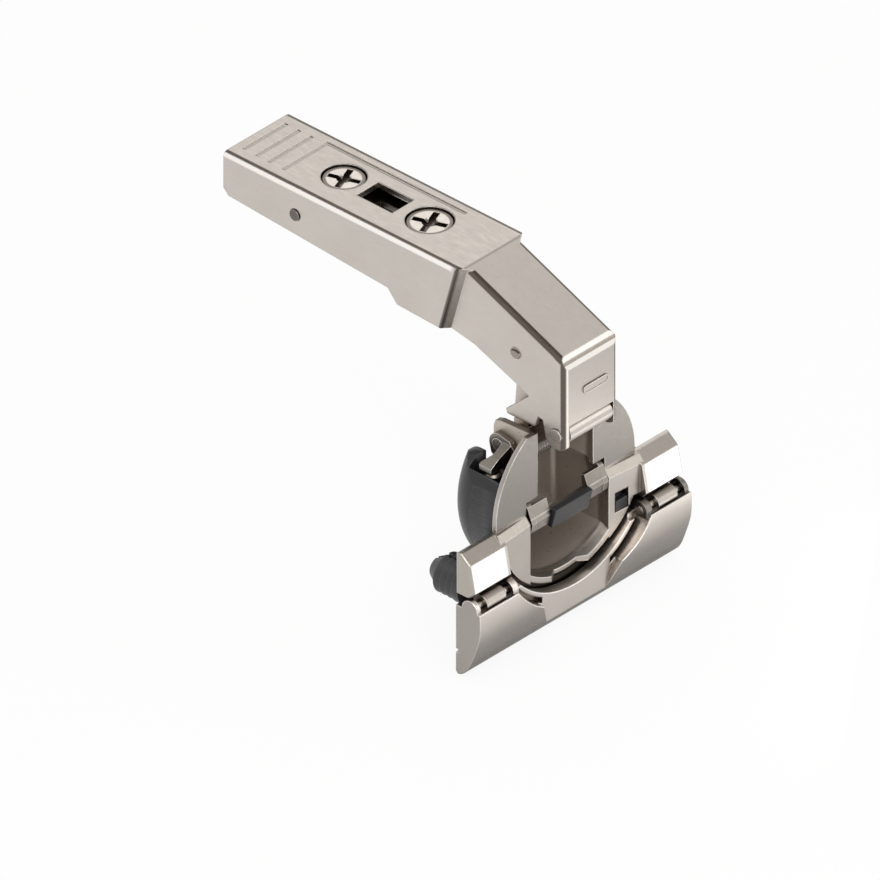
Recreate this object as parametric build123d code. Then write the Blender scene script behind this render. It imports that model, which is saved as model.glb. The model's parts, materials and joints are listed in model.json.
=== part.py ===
"""Concealed cup hinge of the blind-corner type, fully open, with a soft-close cup and a tool-free flange.

Frame: millimetres. The origin is the centre of the cup boss in the plane of the door's back face.
+X leaves the cup's mouth, +Y runs along the flange, +Z points to the door's edge, where the arm is.
"""
import os
from math import cos, hypot, radians, sin, sqrt
from build123d import *

# ---------------------------------------------------------------- fits and sheet
RUN_FIT = 0.05          # radial clearance of a pin in a hole it turns in
SLIDE_FIT = 0.15        # clearance of a sliding piece, each side
SIDE_GAP = 0.20         # clearance between the flat sides of folded pieces

# ---------------------------------------------------------------- linkage, as (x, z)
NOSE_PIN_FRONT = (5.0, 15.7)
NOSE_PIN_REAR = (-4.5, 28.5)
CUP_PIN_OUTER = (-6.4, 5.7)
CUP_PIN_INNER = (-6.0, 10.4)
PIN_R = 1.25
LINK_PIN_R = 1.10

# ---------------------------------------------------------------- hinge arm
ARM_SHEET = 1.2
ARM_HALF = 8.4          # half width of the long part
NOSE_HALF = 6.7         # half width of the cranked part
ARM_REAR_X = -71.5
ARM_TOP_Z = 40.8
BEND_X = -16.5          # where the long part turns down
NOSE_FRONT_X = 7.0
NOSE_TOP_Z = 32.9       # height of the front bend
FRONT_FACE_LOW_Z = 17.8
ARM_EDGE_R = 1.1
ARM_LOW_REAR_Z = 32.3
ARM_LOW_MID_Z = 30.0
ARM_LOW_STEP_Z = 27.5
STEP_X = -33.0
JOG_X = -20.7           # joggle from the long width to the nose width, at JOG_Z
JOG_Z = 27.1
JOG_RUN = 1.2
JOG_LEAN = 0.28
EAR_R = 2.9             # lobe round the front nose pin
HOLE_X = -41.3
HOLE_LONG = 8.4
HOLE_WIDE = 5.5
SIDE_SCREW_X = -30.9
DEPTH_SCREW_X = -51.0
FRAME_PIVOT = (-54.7, 35.3)
GROOVE = 0.25           # depth of the pressed lines
GRIP_LINES = 4
GRIP_START = 3.6        # first grip line, from the arm's rear end
GRIP_PITCH = 2.7
GRIP_WIDE = 0.7
LINE_Y = 5.7            # long line beside the arm's edge
LINE_WIDE = 0.6
LINE_START = 11.7       # from the arm's rear end
LINE_END_X = -27.7
PAD_Z = 25.6            # raised slot on the nose
PAD_LONG = 6.4
PAD_WIDE = 1.9
PAD_HIGH = 0.3
HEAD_SINK = 0.4         # screw heads below the arm's top
HEAD_GAP = 0.3          # round the screw heads
COLLAR_THICK = 0.7      # screw's collar under the arm's web
RIVET_HIGH = 0.25

# ---------------------------------------------------------------- adjusting pieces inside the arm
FRAME_SHEET = 1.0
FRAME_TOP_Z = 37.2
FRAME_REAR_X = -63.0
FRAME_FRONT_X = -23.5
CLIP_SHEET = 1.0
CLIP_GAP_Z = 0.3        # between the frame's web and the clip channel's web
FRAME_GAP = 0.4         # between the arm's walls and the frame
WINDOW_INSET = 0.5      # the webs' window is shorter than the arm's hole by this at each end
CLIP_REAR_X = -67.5
CLIP_FRONT_X = -26.5
SIDE_HEAD_R = 4.05
DEPTH_HEAD_R = 3.75
SCREW_SHANK_R = 2.4
CAM_OFFSET = 2.0
CAM_R = 1.0
CLIP_TRAVEL = 1.75      # either way, from the rear screw
RECESS_LONG = 0.8       # of the driver recess's arms, as a share of the head's radius
RECESS_WIDE = 0.15
RECESS_LOW = 1.1
RECESS_TURN = 20
STEM_SLOT_HALF = 3.0    # open slot of the clip channel round the front screw
WEB_CUT_LOW_Z = 30.0    # reach of the cuts through the webs of the frame and the clip channel
WEB_CUT_TOP_Z = 40.0
WALL_CUT_LOW_Z = 20.0   # reach of the hollows between their walls
CATCH_PIVOT = (-61.5, 32.6)
HOOK_PIN = (-30.0, 30.6)
SMALL_PIN_R = 1.1

# ---------------------------------------------------------------- links
LINK_SHEET = 1.1
LINK_GAP = 0.3          # between the two links, each side
KNUCKLE_R = 2.1

# ---------------------------------------------------------------- cup
CUP_R = 17.5
CUP_DEPTH = 11.9        # below the door's face
PLATE = 0.9             # sheet of the cup plate
SLOT_GAP = 0.3          # between the nose and the slot's sides
SLOT_LOW_Z = 1.5
WINDOW_GAP = 0.3        # between the damper lever and the window's sides
EAR_SHEET = 1.2
EAR_REAR_X = -8.3
EAR_TOP_Z = 14.6
PAN_WALL = 0.7
PAN_BACK_X = -11.7
PAN_STEP = 1.9          # from the disc's edge to the inside of the pan's round wall
PAN_CORNER_R = 1.3
RIM_STEP = 0.2          # from the disc's edge to the front edge of the pan's round wall
RIM_NOTCH_X = 0.8       # the rim steps back to this in its middle
RIM_NOTCH_HALF = 2.8
RIM_NOTCH_RUN = 1.8
POT_WALL = 0.95
POT_TOP_Z = 9.0
POT_TOP_R = 5.0         # corners of the pot's top
POT_REAR_R = 3.0        # round its back
POT_GAP = 0.15

# ---------------------------------------------------------------- flange, wings and fixing lever
BAND_TOP_Z = -1.1       # rolled step from the disc to the flange
BAND_LOW_Z = -2.5
FLANGE_IN_X = 1.9       # front of the flange beside the window
FLANGE_OUT_X = 2.6      # front of the flange beside the wing
FLANGE_STEP = 0.2       # the flange's edge lies outside the disc's
FLANGE_LOW_Z = -8.4
WING_IN = 18.0          # inner end of a wing
WING_END = 4.0          # from the dowel's axis to the wing's outer end
WING_SHEET = 0.9
WING_RIDGE = (3.0, -2.8)
WING_NOSE = (4.05, -8.1)
WING_LOW = (3.1, -9.2)
WING_END_R = 0.6
FRONT_REACH = 9.0       # cuts made from the front start this far out
DOWEL_Y = 22.5          # half of the 45 mm pattern
DOWEL_Z = -9.5          # the pattern's 9.5 mm offset from the cup's centre
DOWEL_R = 3.9           # slips into the door's 8 mm hole
DOWEL_LONG = 8.3
COLLAR_LONG = 1.6       # plain root of the dowel
BARBS = 3
BARB_LONG = 1.4
BARB_HIGH = 0.5
DOWEL_SPLIT = 0.7
DOWEL_FLOOR = 0.8       # closed end of the wedge's bore
WEDGE_Z = -7.9
WEDGE_R = 0.9
WEDGE_HEAD_R = 1.15
WEDGE_HEAD = 0.35
WEDGE_FRONT_X = 2.35
WEDGE_START = 2.2       # from the dowel's closed end to the wedge
NECK_R = 1.6
LEVER_LAP = 0.2         # the fixing lever is longer than the wings by this at each end
LEVER_SHEET = 1.0
LEVER_PIVOT = (3.2, -11.4)
LEVER_RIM = (5.6, -11.6)
LEVER_FRONT = [(5.75, -14.0), (5.55, -16.4), (5.0, -18.5), (4.2, -20.8), (2.8, -23.9), (1.3, -25.3)]
LEVER_LOW_Z = -25.6
LEVER_PIN_R = 0.9
LEVER_BACK_R = 1.5      # low back corner of the lever's end walls
NOTCH_Z = -20.9         # nick in the back edge of the end walls
NOTCH_DEEP = 0.5
NOTCH_HALF = 0.4
MIDDLE_GAP = 0.8        # between the flange's edge and the lever
MIDDLE_WIDE = 1.9       # of the sunk band round the cup
MIDDLE_X = 3.4
MIDDLE_HALF = 9.9       # half width of the sunk middle, at MIDDLE_Z
MIDDLE_Z = -17.8
MIDDLE_LEAN = 0.5       # and its narrowing below that
VALLEY_X = 2.2          # groove between the middle and the raised ends
VALLEY_WIDE = 1.1
VALLEY_HALF = 8.5
KNUCKLE_IN = 4.9        # from the dowel's axis to the inner end of the pin's slot
KNUCKLE_OUT = 3.2
KNUCKLE_SIDE = 1.7      # between the slot's ends and the rolled tab
LUG_WIDE = 1.4          # inner lug of the lever on its pin
LUG_ROOT = 2.4

# ---------------------------------------------------------------- damper
LEVER_ARM_GAP = 0.25    # between the ears and the damper lever's arms
LEVER_ARM_SHEET = 1.15
BUMPER_HALF = 4.8
ARM_FRONT_X = -0.4
LUG_GAP = 0.2
DAMPER_GAP = 0.3        # between the pan's side and the cylinder
DAMPER_X = -3.6
DAMPER_R = 2.4
PISTON_R = 1.5
PISTON_TOP_Z = 7.6
PISTON_LONG = 10.0
PISTON_EDGE = 0.4
CYLINDER_LOW_Z = -5.5
CYLINDER_TOP_Z = 5.4
CYLINDER_FLOOR = 1.0
POCKET_Z = 4.6          # floor of the pot's pocket under the lever's lug
POCKET_BACK = 4.1
POCKET_WIDE = 1.9       # from the damper's axis outwards
COLLAR_R = 3.1          # of the pot, round the damper
SWITCH_Y = 12.9
SWITCH_Z = -8.1
SWITCH_HALF = 1.6
SWITCH_SLOT_HALF = 2.0
SWITCH_ROOM = 0.9       # travel of the switch's lip in the pot, each way
LEVER_BEAR_HALF = 12.0  # reach of the bore through the damper lever's two arms
SPRING_WIRE = 0.6
SPRING_TURNS = 9
SPRING_GAP = 0.2

# ---------------------------------------------------------------- sizes that follow
OUTER_LINK_HALF = NOSE_HALF - ARM_SHEET - SIDE_GAP
INNER_LINK_HALF = OUTER_LINK_HALF - LINK_SHEET - LINK_GAP
SLOT_HALF = NOSE_HALF + SLOT_GAP
ARM_OF_LEVER_IN = SLOT_HALF + EAR_SHEET + LEVER_ARM_GAP
ARM_OF_LEVER_OUT = ARM_OF_LEVER_IN + LEVER_ARM_SHEET
WINDOW_HALF = ARM_OF_LEVER_OUT + WINDOW_GAP
PAN_R = CUP_R - PAN_STEP
RIM_R = CUP_R - RIM_STEP
POT_R = PAN_R + PAN_WALL + POT_GAP + POT_WALL
FLANGE_R = CUP_R + FLANGE_STEP
MIDDLE_IN_R = FLANGE_R + MIDDLE_GAP
MIDDLE_R = MIDDLE_IN_R + MIDDLE_WIDE
DAMPER_Y = WINDOW_HALF + PAN_WALL + DAMPER_GAP + DAMPER_R
POCKET_OUT = DAMPER_Y + POCKET_WIDE
WING_HALF = DOWEL_Y + WING_END
LEVER_HALF = WING_HALF + LEVER_LAP
KNUCKLE_R_OF_TAB = LEVER_PIN_R + WING_SHEET
FRAME_HALF = ARM_HALF - ARM_SHEET - FRAME_GAP
CLIP_HALF = FRAME_HALF - FRAME_SHEET - SIDE_GAP
CLIP_TOP_Z = FRAME_TOP_Z - FRAME_SHEET - CLIP_GAP_Z


def slab(points, y0, y1):
    """Plate of the outline points (x, z) between two values of y."""
    outline = Polyline([(x, y0, z) for x, z in points], close=True)
    return extrude(make_face(outline), amount=y1 - y0, dir=(0, 1, 0))


def sheet_x(points, x0, x1):
    """Plate of the outline points (y, z) between two values of x."""
    outline = Polyline([(x0, y, z) for y, z in points], close=True)
    return extrude(make_face(outline), amount=x1 - x0, dir=(1, 0, 0))


def block(x0, x1, y0, y1, z0, z1):
    return Pos((x0 + x1) / 2, (y0 + y1) / 2, (z0 + z1) / 2) * Box(x1 - x0, y1 - y0, z1 - z0)


def rod_x(y, z, r, x0, x1):
    return Pos((x0 + x1) / 2, y, z) * Rot(0, 90, 0) * Cylinder(r, x1 - x0)


def rod_y(at, r, y0, y1):
    return Pos(at[0], (y0 + y1) / 2, at[1]) * Rot(90, 0, 0) * Cylinder(r, y1 - y0)


def rod_z(x, y, r, z0, z1):
    return Pos(x, y, (z0 + z1) / 2) * Cylinder(r, z1 - z0)


def mirrored(shape):
    """The same piece on the other side of the middle plane."""
    return mirror(shape, about=Plane.XZ)


def arc_points(centre, r, start, end, steps):
    """Points on an arc, angles in degrees."""
    turn = (end - start) / steps
    angles = [radians(start + turn * i) for i in range(steps + 1)]
    return [(centre[0] + r * cos(a), centre[1] + r * sin(a)) for a in angles]


def save(shape, name):
    export_step(shape, os.path.join("parts", name + ".step"))


# ---------------------------------------------------------------- hinge arm
def arm_outline():
    """Outline (x, z) of the arm's side, from the rear top corner clockwise."""
    lobe = arc_points(NOSE_PIN_FRONT, EAR_R, -20, -150, 7)
    slope = (ARM_TOP_Z - NOSE_TOP_Z) / (NOSE_FRONT_X - BEND_X)
    top = [
        (ARM_REAR_X, ARM_TOP_Z),
        (BEND_X, ARM_TOP_Z),
        (NOSE_FRONT_X - 1.3, NOSE_TOP_Z + 1.3 * slope),
        (NOSE_FRONT_X - 0.4, NOSE_TOP_Z - 0.5),
        (NOSE_FRONT_X, NOSE_TOP_Z - 1.7),
        (NOSE_FRONT_X, NOSE_PIN_FRONT[1]),
    ]
    notch = [
        (NOSE_PIN_FRONT[0] - 3.2, NOSE_PIN_FRONT[1] + 1.7),
        (NOSE_PIN_FRONT[0] - 4.4, NOSE_PIN_FRONT[1] + 1.9),
        (NOSE_PIN_FRONT[0] - 5.2, NOSE_PIN_FRONT[1] - 0.4),
    ]
    heel = [
        (NOSE_PIN_REAR[0] - 2.1, NOSE_PIN_FRONT[1] - 0.5),
        (NOSE_PIN_REAR[0] - 2.3, NOSE_PIN_FRONT[1] + 0.4),
        (-3.6, 19.0),
        (-1.5, 20.9),
        (-3.2, 21.7),
        (-14.1, 25.9),
    ]
    low = [
        (JOG_X, JOG_Z),
        (STEP_X + 2.2, ARM_LOW_STEP_Z),
        (STEP_X, ARM_LOW_MID_Z),
        (ARM_REAR_X + 1.2, ARM_LOW_REAR_Z),
        (ARM_REAR_X, ARM_LOW_REAR_Z + 1.2),
    ]
    return top + lobe + notch + heel + low


def plan_prism(rear_half, front_half, z0, z1):
    """Upright prism of the arm's plan outline, leaning with the joggle."""
    jog = JOG_X + (z0 - JOG_Z) * JOG_LEAN
    corners = [
        (ARM_REAR_X - 10, rear_half),
        (jog, rear_half),
        (jog + JOG_RUN, front_half),
        (NOSE_FRONT_X + 20, front_half),
        (NOSE_FRONT_X + 20, -front_half),
        (jog + JOG_RUN, -front_half),
        (jog, -rear_half),
        (ARM_REAR_X - 10, -rear_half),
    ]
    outline = Polyline([(x, y, z0) for x, y in corners], close=True)
    lean = Vector(JOG_LEAN, 0, 1)
    return extrude(make_face(outline), amount=(z1 - z0) * lean.length, dir=lean.normalized())


def hinge_arm():
    low_z, high_z = 8.0, ARM_TOP_Z + 4
    outer = slab(arm_outline(), -ARM_HALF, ARM_HALF) & plan_prism(ARM_HALF, NOSE_HALF, low_z, high_z)
    top_edges = [
        e for e in outer.edges()
        if e.length > 12 and e.center().Z > 34 and abs(e.center().Y) > NOSE_HALF - 0.1
    ]
    outer = fillet(top_edges, ARM_EDGE_R)
    nose = block(BEND_X, NOSE_FRONT_X, -NOSE_HALF, NOSE_HALF, low_z, high_z)
    nose = fillet(nose.edges().filter_by(Axis.Z).group_by(Axis.X)[-1], ARM_EDGE_R)
    outer = outer & (nose + block(ARM_REAR_X, BEND_X + 6, -ARM_HALF, ARM_HALF, low_z, high_z))
    slope = (ARM_TOP_Z - NOSE_TOP_Z) / (NOSE_FRONT_X - BEND_X)
    drop = ARM_SHEET * sqrt(1 + slope * slope)
    inside = [
        (ARM_REAR_X - 5, ARM_TOP_Z - ARM_SHEET),
        (BEND_X - 0.2, ARM_TOP_Z - ARM_SHEET),
        (NOSE_FRONT_X - 2.1, NOSE_TOP_Z + 2.1 * slope - drop),
        (NOSE_FRONT_X - ARM_SHEET, NOSE_TOP_Z - 2.2),
        (NOSE_FRONT_X - ARM_SHEET, low_z - 2),
        (ARM_REAR_X - 5, low_z - 2),
    ]
    hollow = slab(inside, -ARM_HALF, ARM_HALF)
    hollow = hollow & plan_prism(ARM_HALF - ARM_SHEET, NOSE_HALF - ARM_SHEET, low_z - 2, high_z)
    arm = outer - hollow
    inner_half = NOSE_HALF - ARM_SHEET
    arm -= block(NOSE_FRONT_X - 2, NOSE_FRONT_X + 2, -inner_half, inner_half, low_z, FRONT_FACE_LOW_Z)
    web_low, web_high = ARM_TOP_Z - 2 * ARM_SHEET, ARM_TOP_Z + 1
    x0, x1 = HOLE_X - HOLE_LONG / 2, HOLE_X + HOLE_LONG / 2
    arm -= block(x0, x1, -HOLE_WIDE / 2, HOLE_WIDE / 2, web_low, web_high)
    arm -= rod_z(SIDE_SCREW_X, 0, SIDE_HEAD_R + HEAD_GAP, web_low, web_high)
    arm -= rod_z(DEPTH_SCREW_X, 0, DEPTH_HEAD_R + HEAD_GAP, web_low, web_high)
    arm -= rod_y(NOSE_PIN_FRONT, PIN_R, -NOSE_HALF - 1, NOSE_HALF + 1)
    arm -= rod_y(FRAME_PIVOT, SMALL_PIN_R, -ARM_HALF - 1, ARM_HALF + 1)
    # pressed grip lines near the rear, and the long line beside the far edge
    floor_z = ARM_TOP_Z - GROOVE
    reach = LINE_Y - LINE_WIDE / 2
    for step in range(GRIP_LINES):
        x = ARM_REAR_X + GRIP_START + GRIP_PITCH * step
        arm -= block(x, x + GRIP_WIDE, -reach, reach, floor_z, web_high)
    arm -= block(ARM_REAR_X + LINE_START, LINE_END_X, reach, reach + LINE_WIDE, floor_z, web_high)
    # raised slot on the nose, and the rivet heads of the rear nose pin
    slot = SlotOverall(PAD_LONG, PAD_WIDE, rotation=90)
    arm += Pos(NOSE_FRONT_X, 1.0, PAD_Z) * Rot(0, 90, 0) * extrude(slot, amount=PAD_HIGH)
    for side in (-1, 1):
        head = sorted((side * (NOSE_HALF - RIVET_HIGH), side * (NOSE_HALF + RIVET_HIGH)))
        arm += rod_y(NOSE_PIN_REAR, SMALL_PIN_R, head[0], head[1])
    return arm


# ---------------------------------------------------------------- adjusting pieces in the arm
def window_cut():
    """Window through the webs under the arm's rectangular hole."""
    half = HOLE_LONG / 2 - WINDOW_INSET
    return block(HOLE_X - half, HOLE_X + half, -HOLE_WIDE / 2, HOLE_WIDE / 2, WEB_CUT_LOW_Z, WEB_CUT_TOP_Z)


def side_frame():
    """Inner channel that turns on the frame pivot when the front screw is turned."""
    half = FRAME_HALF
    low_z = ARM_LOW_MID_Z + 2.6
    outline = [
        (FRAME_REAR_X, FRAME_TOP_Z),
        (FRAME_FRONT_X, FRAME_TOP_Z),
        (FRAME_FRONT_X, ARM_LOW_STEP_Z + 1.4),
        (FRAME_FRONT_X - 5, ARM_LOW_STEP_Z + 1.4),
        (FRAME_FRONT_X - 9, low_z),
        (FRAME_REAR_X, low_z + 1.0),
    ]
    frame = slab(outline, -half, half)
    inner, web_z = half - FRAME_SHEET, FRAME_TOP_Z - FRAME_SHEET
    frame -= block(FRAME_REAR_X - 1, FRAME_FRONT_X + 1, -inner, inner, WALL_CUT_LOW_Z, web_z)
    frame -= rod_z(SIDE_SCREW_X, 0, SCREW_SHANK_R + SLIDE_FIT, WEB_CUT_LOW_Z, WEB_CUT_TOP_Z)
    frame -= rod_z(DEPTH_SCREW_X, 0, CAM_OFFSET + CAM_R + SLIDE_FIT, WEB_CUT_LOW_Z, WEB_CUT_TOP_Z)
    frame -= window_cut()
    frame -= rod_y(FRAME_PIVOT, SMALL_PIN_R + RUN_FIT, -half - 1, half + 1)
    return frame


def frame_pin(side):
    """Short rivet of the frame, through the arm's wall."""
    ends = sorted((side * (FRAME_HALF - FRAME_SHEET), side * (ARM_HALF + RIVET_HIGH)))
    return rod_y(FRAME_PIVOT, SMALL_PIN_R, ends[0], ends[1])


def clip_channel():
    """Channel that hooks on the mounting plate and slides along the arm when the rear screw is turned."""
    half = CLIP_HALF
    top_z = CLIP_TOP_Z
    outline = [
        (CLIP_REAR_X, top_z),
        (CLIP_FRONT_X, top_z),
        (CLIP_FRONT_X, HOOK_PIN[1] - 1.6),
        (HOOK_PIN[0] - 2.2, HOOK_PIN[1] - 2.0),
        (HOOK_PIN[0] - 5.0, HOOK_PIN[1] + 1.2),
        (CATCH_PIVOT[0] + 3.0, CATCH_PIVOT[1] - 1.6),
        (CATCH_PIVOT[0] - 2.4, CATCH_PIVOT[1] - 1.6),
        (CLIP_REAR_X, CATCH_PIVOT[1]),
    ]
    clip = slab(outline, -half, half)
    inner = half - CLIP_SHEET
    clip -= block(CLIP_REAR_X - 1, CLIP_FRONT_X + 1, -inner, inner, WALL_CUT_LOW_Z, top_z - CLIP_SHEET)
    # crosswise slot for the eccentric pin, and the open slot for the front screw's stem
    cam_half = CAM_R + SLIDE_FIT + 0.1
    y0, y1 = CAM_OFFSET / 2 - CAM_R - SLIDE_FIT, CAM_OFFSET + CAM_R + SLIDE_FIT
    clip -= block(DEPTH_SCREW_X - cam_half, DEPTH_SCREW_X + cam_half, y0, y1, WEB_CUT_LOW_Z, WEB_CUT_TOP_Z)
    x0 = SIDE_SCREW_X - SCREW_SHANK_R - CLIP_TRAVEL - SLIDE_FIT
    clip -= block(x0, CLIP_FRONT_X + 1, -STEM_SLOT_HALF, STEM_SLOT_HALF, WEB_CUT_LOW_Z, WEB_CUT_TOP_Z)
    clip -= rod_y(HOOK_PIN, SMALL_PIN_R, -half - 1, half + 1)
    clip -= rod_y(CATCH_PIVOT, SMALL_PIN_R, -half - 1, half + 1)
    return clip - window_cut()


def hook_pin():
    """Pin that hooks in the front of the mounting plate."""
    return rod_y(HOOK_PIN, SMALL_PIN_R, -CLIP_HALF, CLIP_HALF)


def catch_pin():
    return rod_y(CATCH_PIVOT, SMALL_PIN_R, -CLIP_HALF, CLIP_HALF)


def release_catch():
    """Sprung catch with the finger tab at the rear of the arm."""
    half = CLIP_HALF - CLIP_SHEET - SIDE_GAP
    x, z = CATCH_PIVOT
    outline = [
        (x - 1.9, z + 1.9),
        (x + 1.9, z + 1.9),
        (x + 2.4, z - 0.5),
        (x + 3.2, z - 3.4),
        (x + 1.0, z - 3.4),
        (x - 0.6, z - 1.9),
        (x - 3.4, z - 1.9),
        (x - 7.0, z - 1.2),
        (x - 9.2, z - 1.2),
        (x - 9.2, z + 0.2),
        (x - 6.6, z + 0.2),
        (x - 3.6, z - 0.4),
    ]
    catch = slab(outline, -half, half)
    catch -= rod_y(CATCH_PIVOT, SMALL_PIN_R + RUN_FIT, -half - 1, half + 1)
    return catch


def catch_spring():
    """Flat leaf spring between the clip channel's web and the catch."""
    x, z = CATCH_PIVOT
    top_z = CLIP_TOP_Z - CLIP_SHEET
    outline = [
        (x + 8.0, top_z),
        (x - 2.6, top_z),
        (x - 5.0, z + 0.6),
        (x - 6.4, z + 0.6),
        (x - 6.4, z + 0.3),
        (x - 5.15, z + 0.3),
        (x - 2.75, top_z - 0.3),
        (x + 8.0, top_z - 0.3),
    ]
    return slab(outline, -1.5, 1.5)


def cross_recess(x, r, top_z):
    """Four-way driver recess, tapering down in its middle."""
    wide, long = RECESS_WIDE * r, RECESS_LONG * r
    cut = block(x - long, x + long, -wide, wide, top_z - RECESS_LOW, top_z + 1)
    cut += block(x - wide, x + wide, -long, long, top_z - RECESS_LOW, top_z + 1)
    cut += Pos(x, 0, top_z - RECESS_LOW / 2) * Cone(wide, 2.4 * wide, RECESS_LOW)
    return Pos(x, 0, 0) * Rot(0, 0, RECESS_TURN) * Pos(-x, 0, 0) * cut


def side_screw():
    """Front screw: tilts the frame. Its collar sits under the arm's web."""
    top_z = ARM_TOP_Z - HEAD_SINK
    screw = rod_z(SIDE_SCREW_X, 0, SIDE_HEAD_R, ARM_TOP_Z - ARM_SHEET - COLLAR_THICK, top_z)
    screw += rod_z(SIDE_SCREW_X, 0, SCREW_SHANK_R, FRAME_TOP_Z - FRAME_SHEET - 2.0, top_z - 1)
    return screw - cross_recess(SIDE_SCREW_X, SIDE_HEAD_R, top_z)


def depth_screw():
    """Rear screw: its eccentric pin drives the clip channel along the arm."""
    top_z = ARM_TOP_Z - HEAD_SINK
    screw = rod_z(DEPTH_SCREW_X, 0, DEPTH_HEAD_R, ARM_TOP_Z - ARM_SHEET - COLLAR_THICK, top_z)
    screw += rod_z(DEPTH_SCREW_X, 0, SCREW_SHANK_R, CLIP_TOP_Z + CLIP_GAP_Z, top_z - 1)
    screw += rod_z(DEPTH_SCREW_X, CAM_OFFSET, CAM_R, CLIP_TOP_Z - CLIP_SHEET, CLIP_TOP_Z + CLIP_GAP_Z + 0.1)
    return screw - cross_recess(DEPTH_SCREW_X, DEPTH_HEAD_R, top_z)


# ---------------------------------------------------------------- links
def along(start, end, s, n):
    """Point at s along the line from start to end and n to its left."""
    run, rise = end[0] - start[0], end[1] - start[1]
    length = hypot(run, rise)
    ux, uz = run / length, rise / length
    return (start[0] + s * ux - n * uz, start[1] + s * uz + n * ux)


def link_outer():
    """U-shaped link: cheeks with their web on the upper side, rolled round the nose pin."""
    a, b = CUP_PIN_OUTER, NOSE_PIN_FRONT
    length = hypot(b[0] - a[0], b[1] - a[1])
    body = [(0, -KNUCKLE_R), (1.7, -1.6), (3.6, -0.6), (5.0, 0.1), (length - 4.0, 0.1), (length - 2.2, -1.3)]
    body += [(length, -KNUCKLE_R), (length, KNUCKLE_R), (length - 2.5, 3.3), (6.4, 3.3), (4.4, 2.0)]
    body += [(0, KNUCKLE_R)]
    cheek = [along(a, b, s, n) for s, n in body]
    link = slab(cheek, -OUTER_LINK_HALF, OUTER_LINK_HALF)
    link += rod_y(a, KNUCKLE_R, -OUTER_LINK_HALF, OUTER_LINK_HALF)
    web = 3.3 - LINK_SHEET
    hollow = [(-4, -6), (length - 2.3, -6), (length - 2.3, web), (5.4, web), (5.4, 6), (-4, 6)]
    inner = OUTER_LINK_HALF - LINK_SHEET
    link -= slab([along(a, b, s, n) for s, n in hollow], -inner, inner)
    link += rod_y(b, KNUCKLE_R, -OUTER_LINK_HALF, OUTER_LINK_HALF)
    link -= rod_y(a, PIN_R + RUN_FIT, -OUTER_LINK_HALF - 1, OUTER_LINK_HALF + 1)
    link -= rod_y(b, PIN_R + RUN_FIT, -OUTER_LINK_HALF - 1, OUTER_LINK_HALF + 1)
    return link


def link_inner():
    """Narrow channel link inside the outer link, from the cup to the nose."""
    a, b = CUP_PIN_INNER, NOSE_PIN_REAR
    length = hypot(b[0] - a[0], b[1] - a[1])
    half = INNER_LINK_HALF
    bar = [along(a, b, s, n) for s, n in [(0, -1.7), (length, -1.7), (length, 1.7), (0, 1.7)]]
    link = slab(bar, -half, half)
    link += rod_y(a, KNUCKLE_R - 0.1, -half, half)
    link += rod_y(b, KNUCKLE_R - 0.1, -half, half)
    inner = half - LINK_SHEET
    hollow = [(2.6, -1.7 + LINK_SHEET), (length - 2.6, -1.7 + LINK_SHEET), (length - 2.6, 4), (2.6, 4)]
    link -= slab([along(a, b, s, n) for s, n in hollow], -inner, inner)
    link -= rod_y(a, PIN_R + RUN_FIT, -half - 1, half + 1)
    link -= rod_y(b, LINK_PIN_R, -half - 1, half + 1)
    return link


def nose_pin_front():
    return rod_y(NOSE_PIN_FRONT, PIN_R, -NOSE_HALF - 0.3, NOSE_HALF + 0.3)


def nose_pin_rear():
    """Pin pressed in the inner link; its ends stay short of the nose's walls."""
    half = NOSE_HALF - ARM_SHEET - SIDE_GAP
    return rod_y(NOSE_PIN_REAR, LINK_PIN_R, -half, half)


def cup_pin_outer():
    half = SLOT_HALF + EAR_SHEET + 0.1
    return rod_y(CUP_PIN_OUTER, PIN_R, -half, half)


def cup_pin_inner():
    half = ARM_OF_LEVER_OUT + 0.15
    return rod_y(CUP_PIN_INNER, PIN_R, -half, half)


# ---------------------------------------------------------------- cup plate
def drawn_wall(grow, x0, x1):
    """Round wall of the pan, flaring a little to its rim in front of the disc."""
    outline = [
        (x0, 0),
        (x0, PAN_R + grow),
        (0, PAN_R + grow),
        (x1, RIM_R - PAN_WALL + grow),
        (x1, 0),
    ]
    return revolve(make_face(Polyline([(x, r, 0) for x, r in outline], close=True)), Axis.X)


def inset_points(points, amount):
    """Open outline (x, z), running down, moved back by the given amount."""
    moved = []
    for i, (x, z) in enumerate(points):
        before = points[max(i - 1, 0)]
        after = points[min(i + 1, len(points) - 1)]
        run, rise = after[0] - before[0], after[1] - before[1]
        length = hypot(run, rise)
        moved.append((x + amount * rise / length, z - amount * run / length))
    return moved


def leaning_slab(points, y0, y1, lean):
    """Plate of the outline (x, z) that moves in x by lean for each millimetre of y."""
    outline = Polyline([(x, y0, z) for x, z in points], close=True)
    way = Vector(lean, 1, 0)
    return extrude(make_face(outline), amount=(y1 - y0) * way.length, dir=way.normalized())


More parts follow.
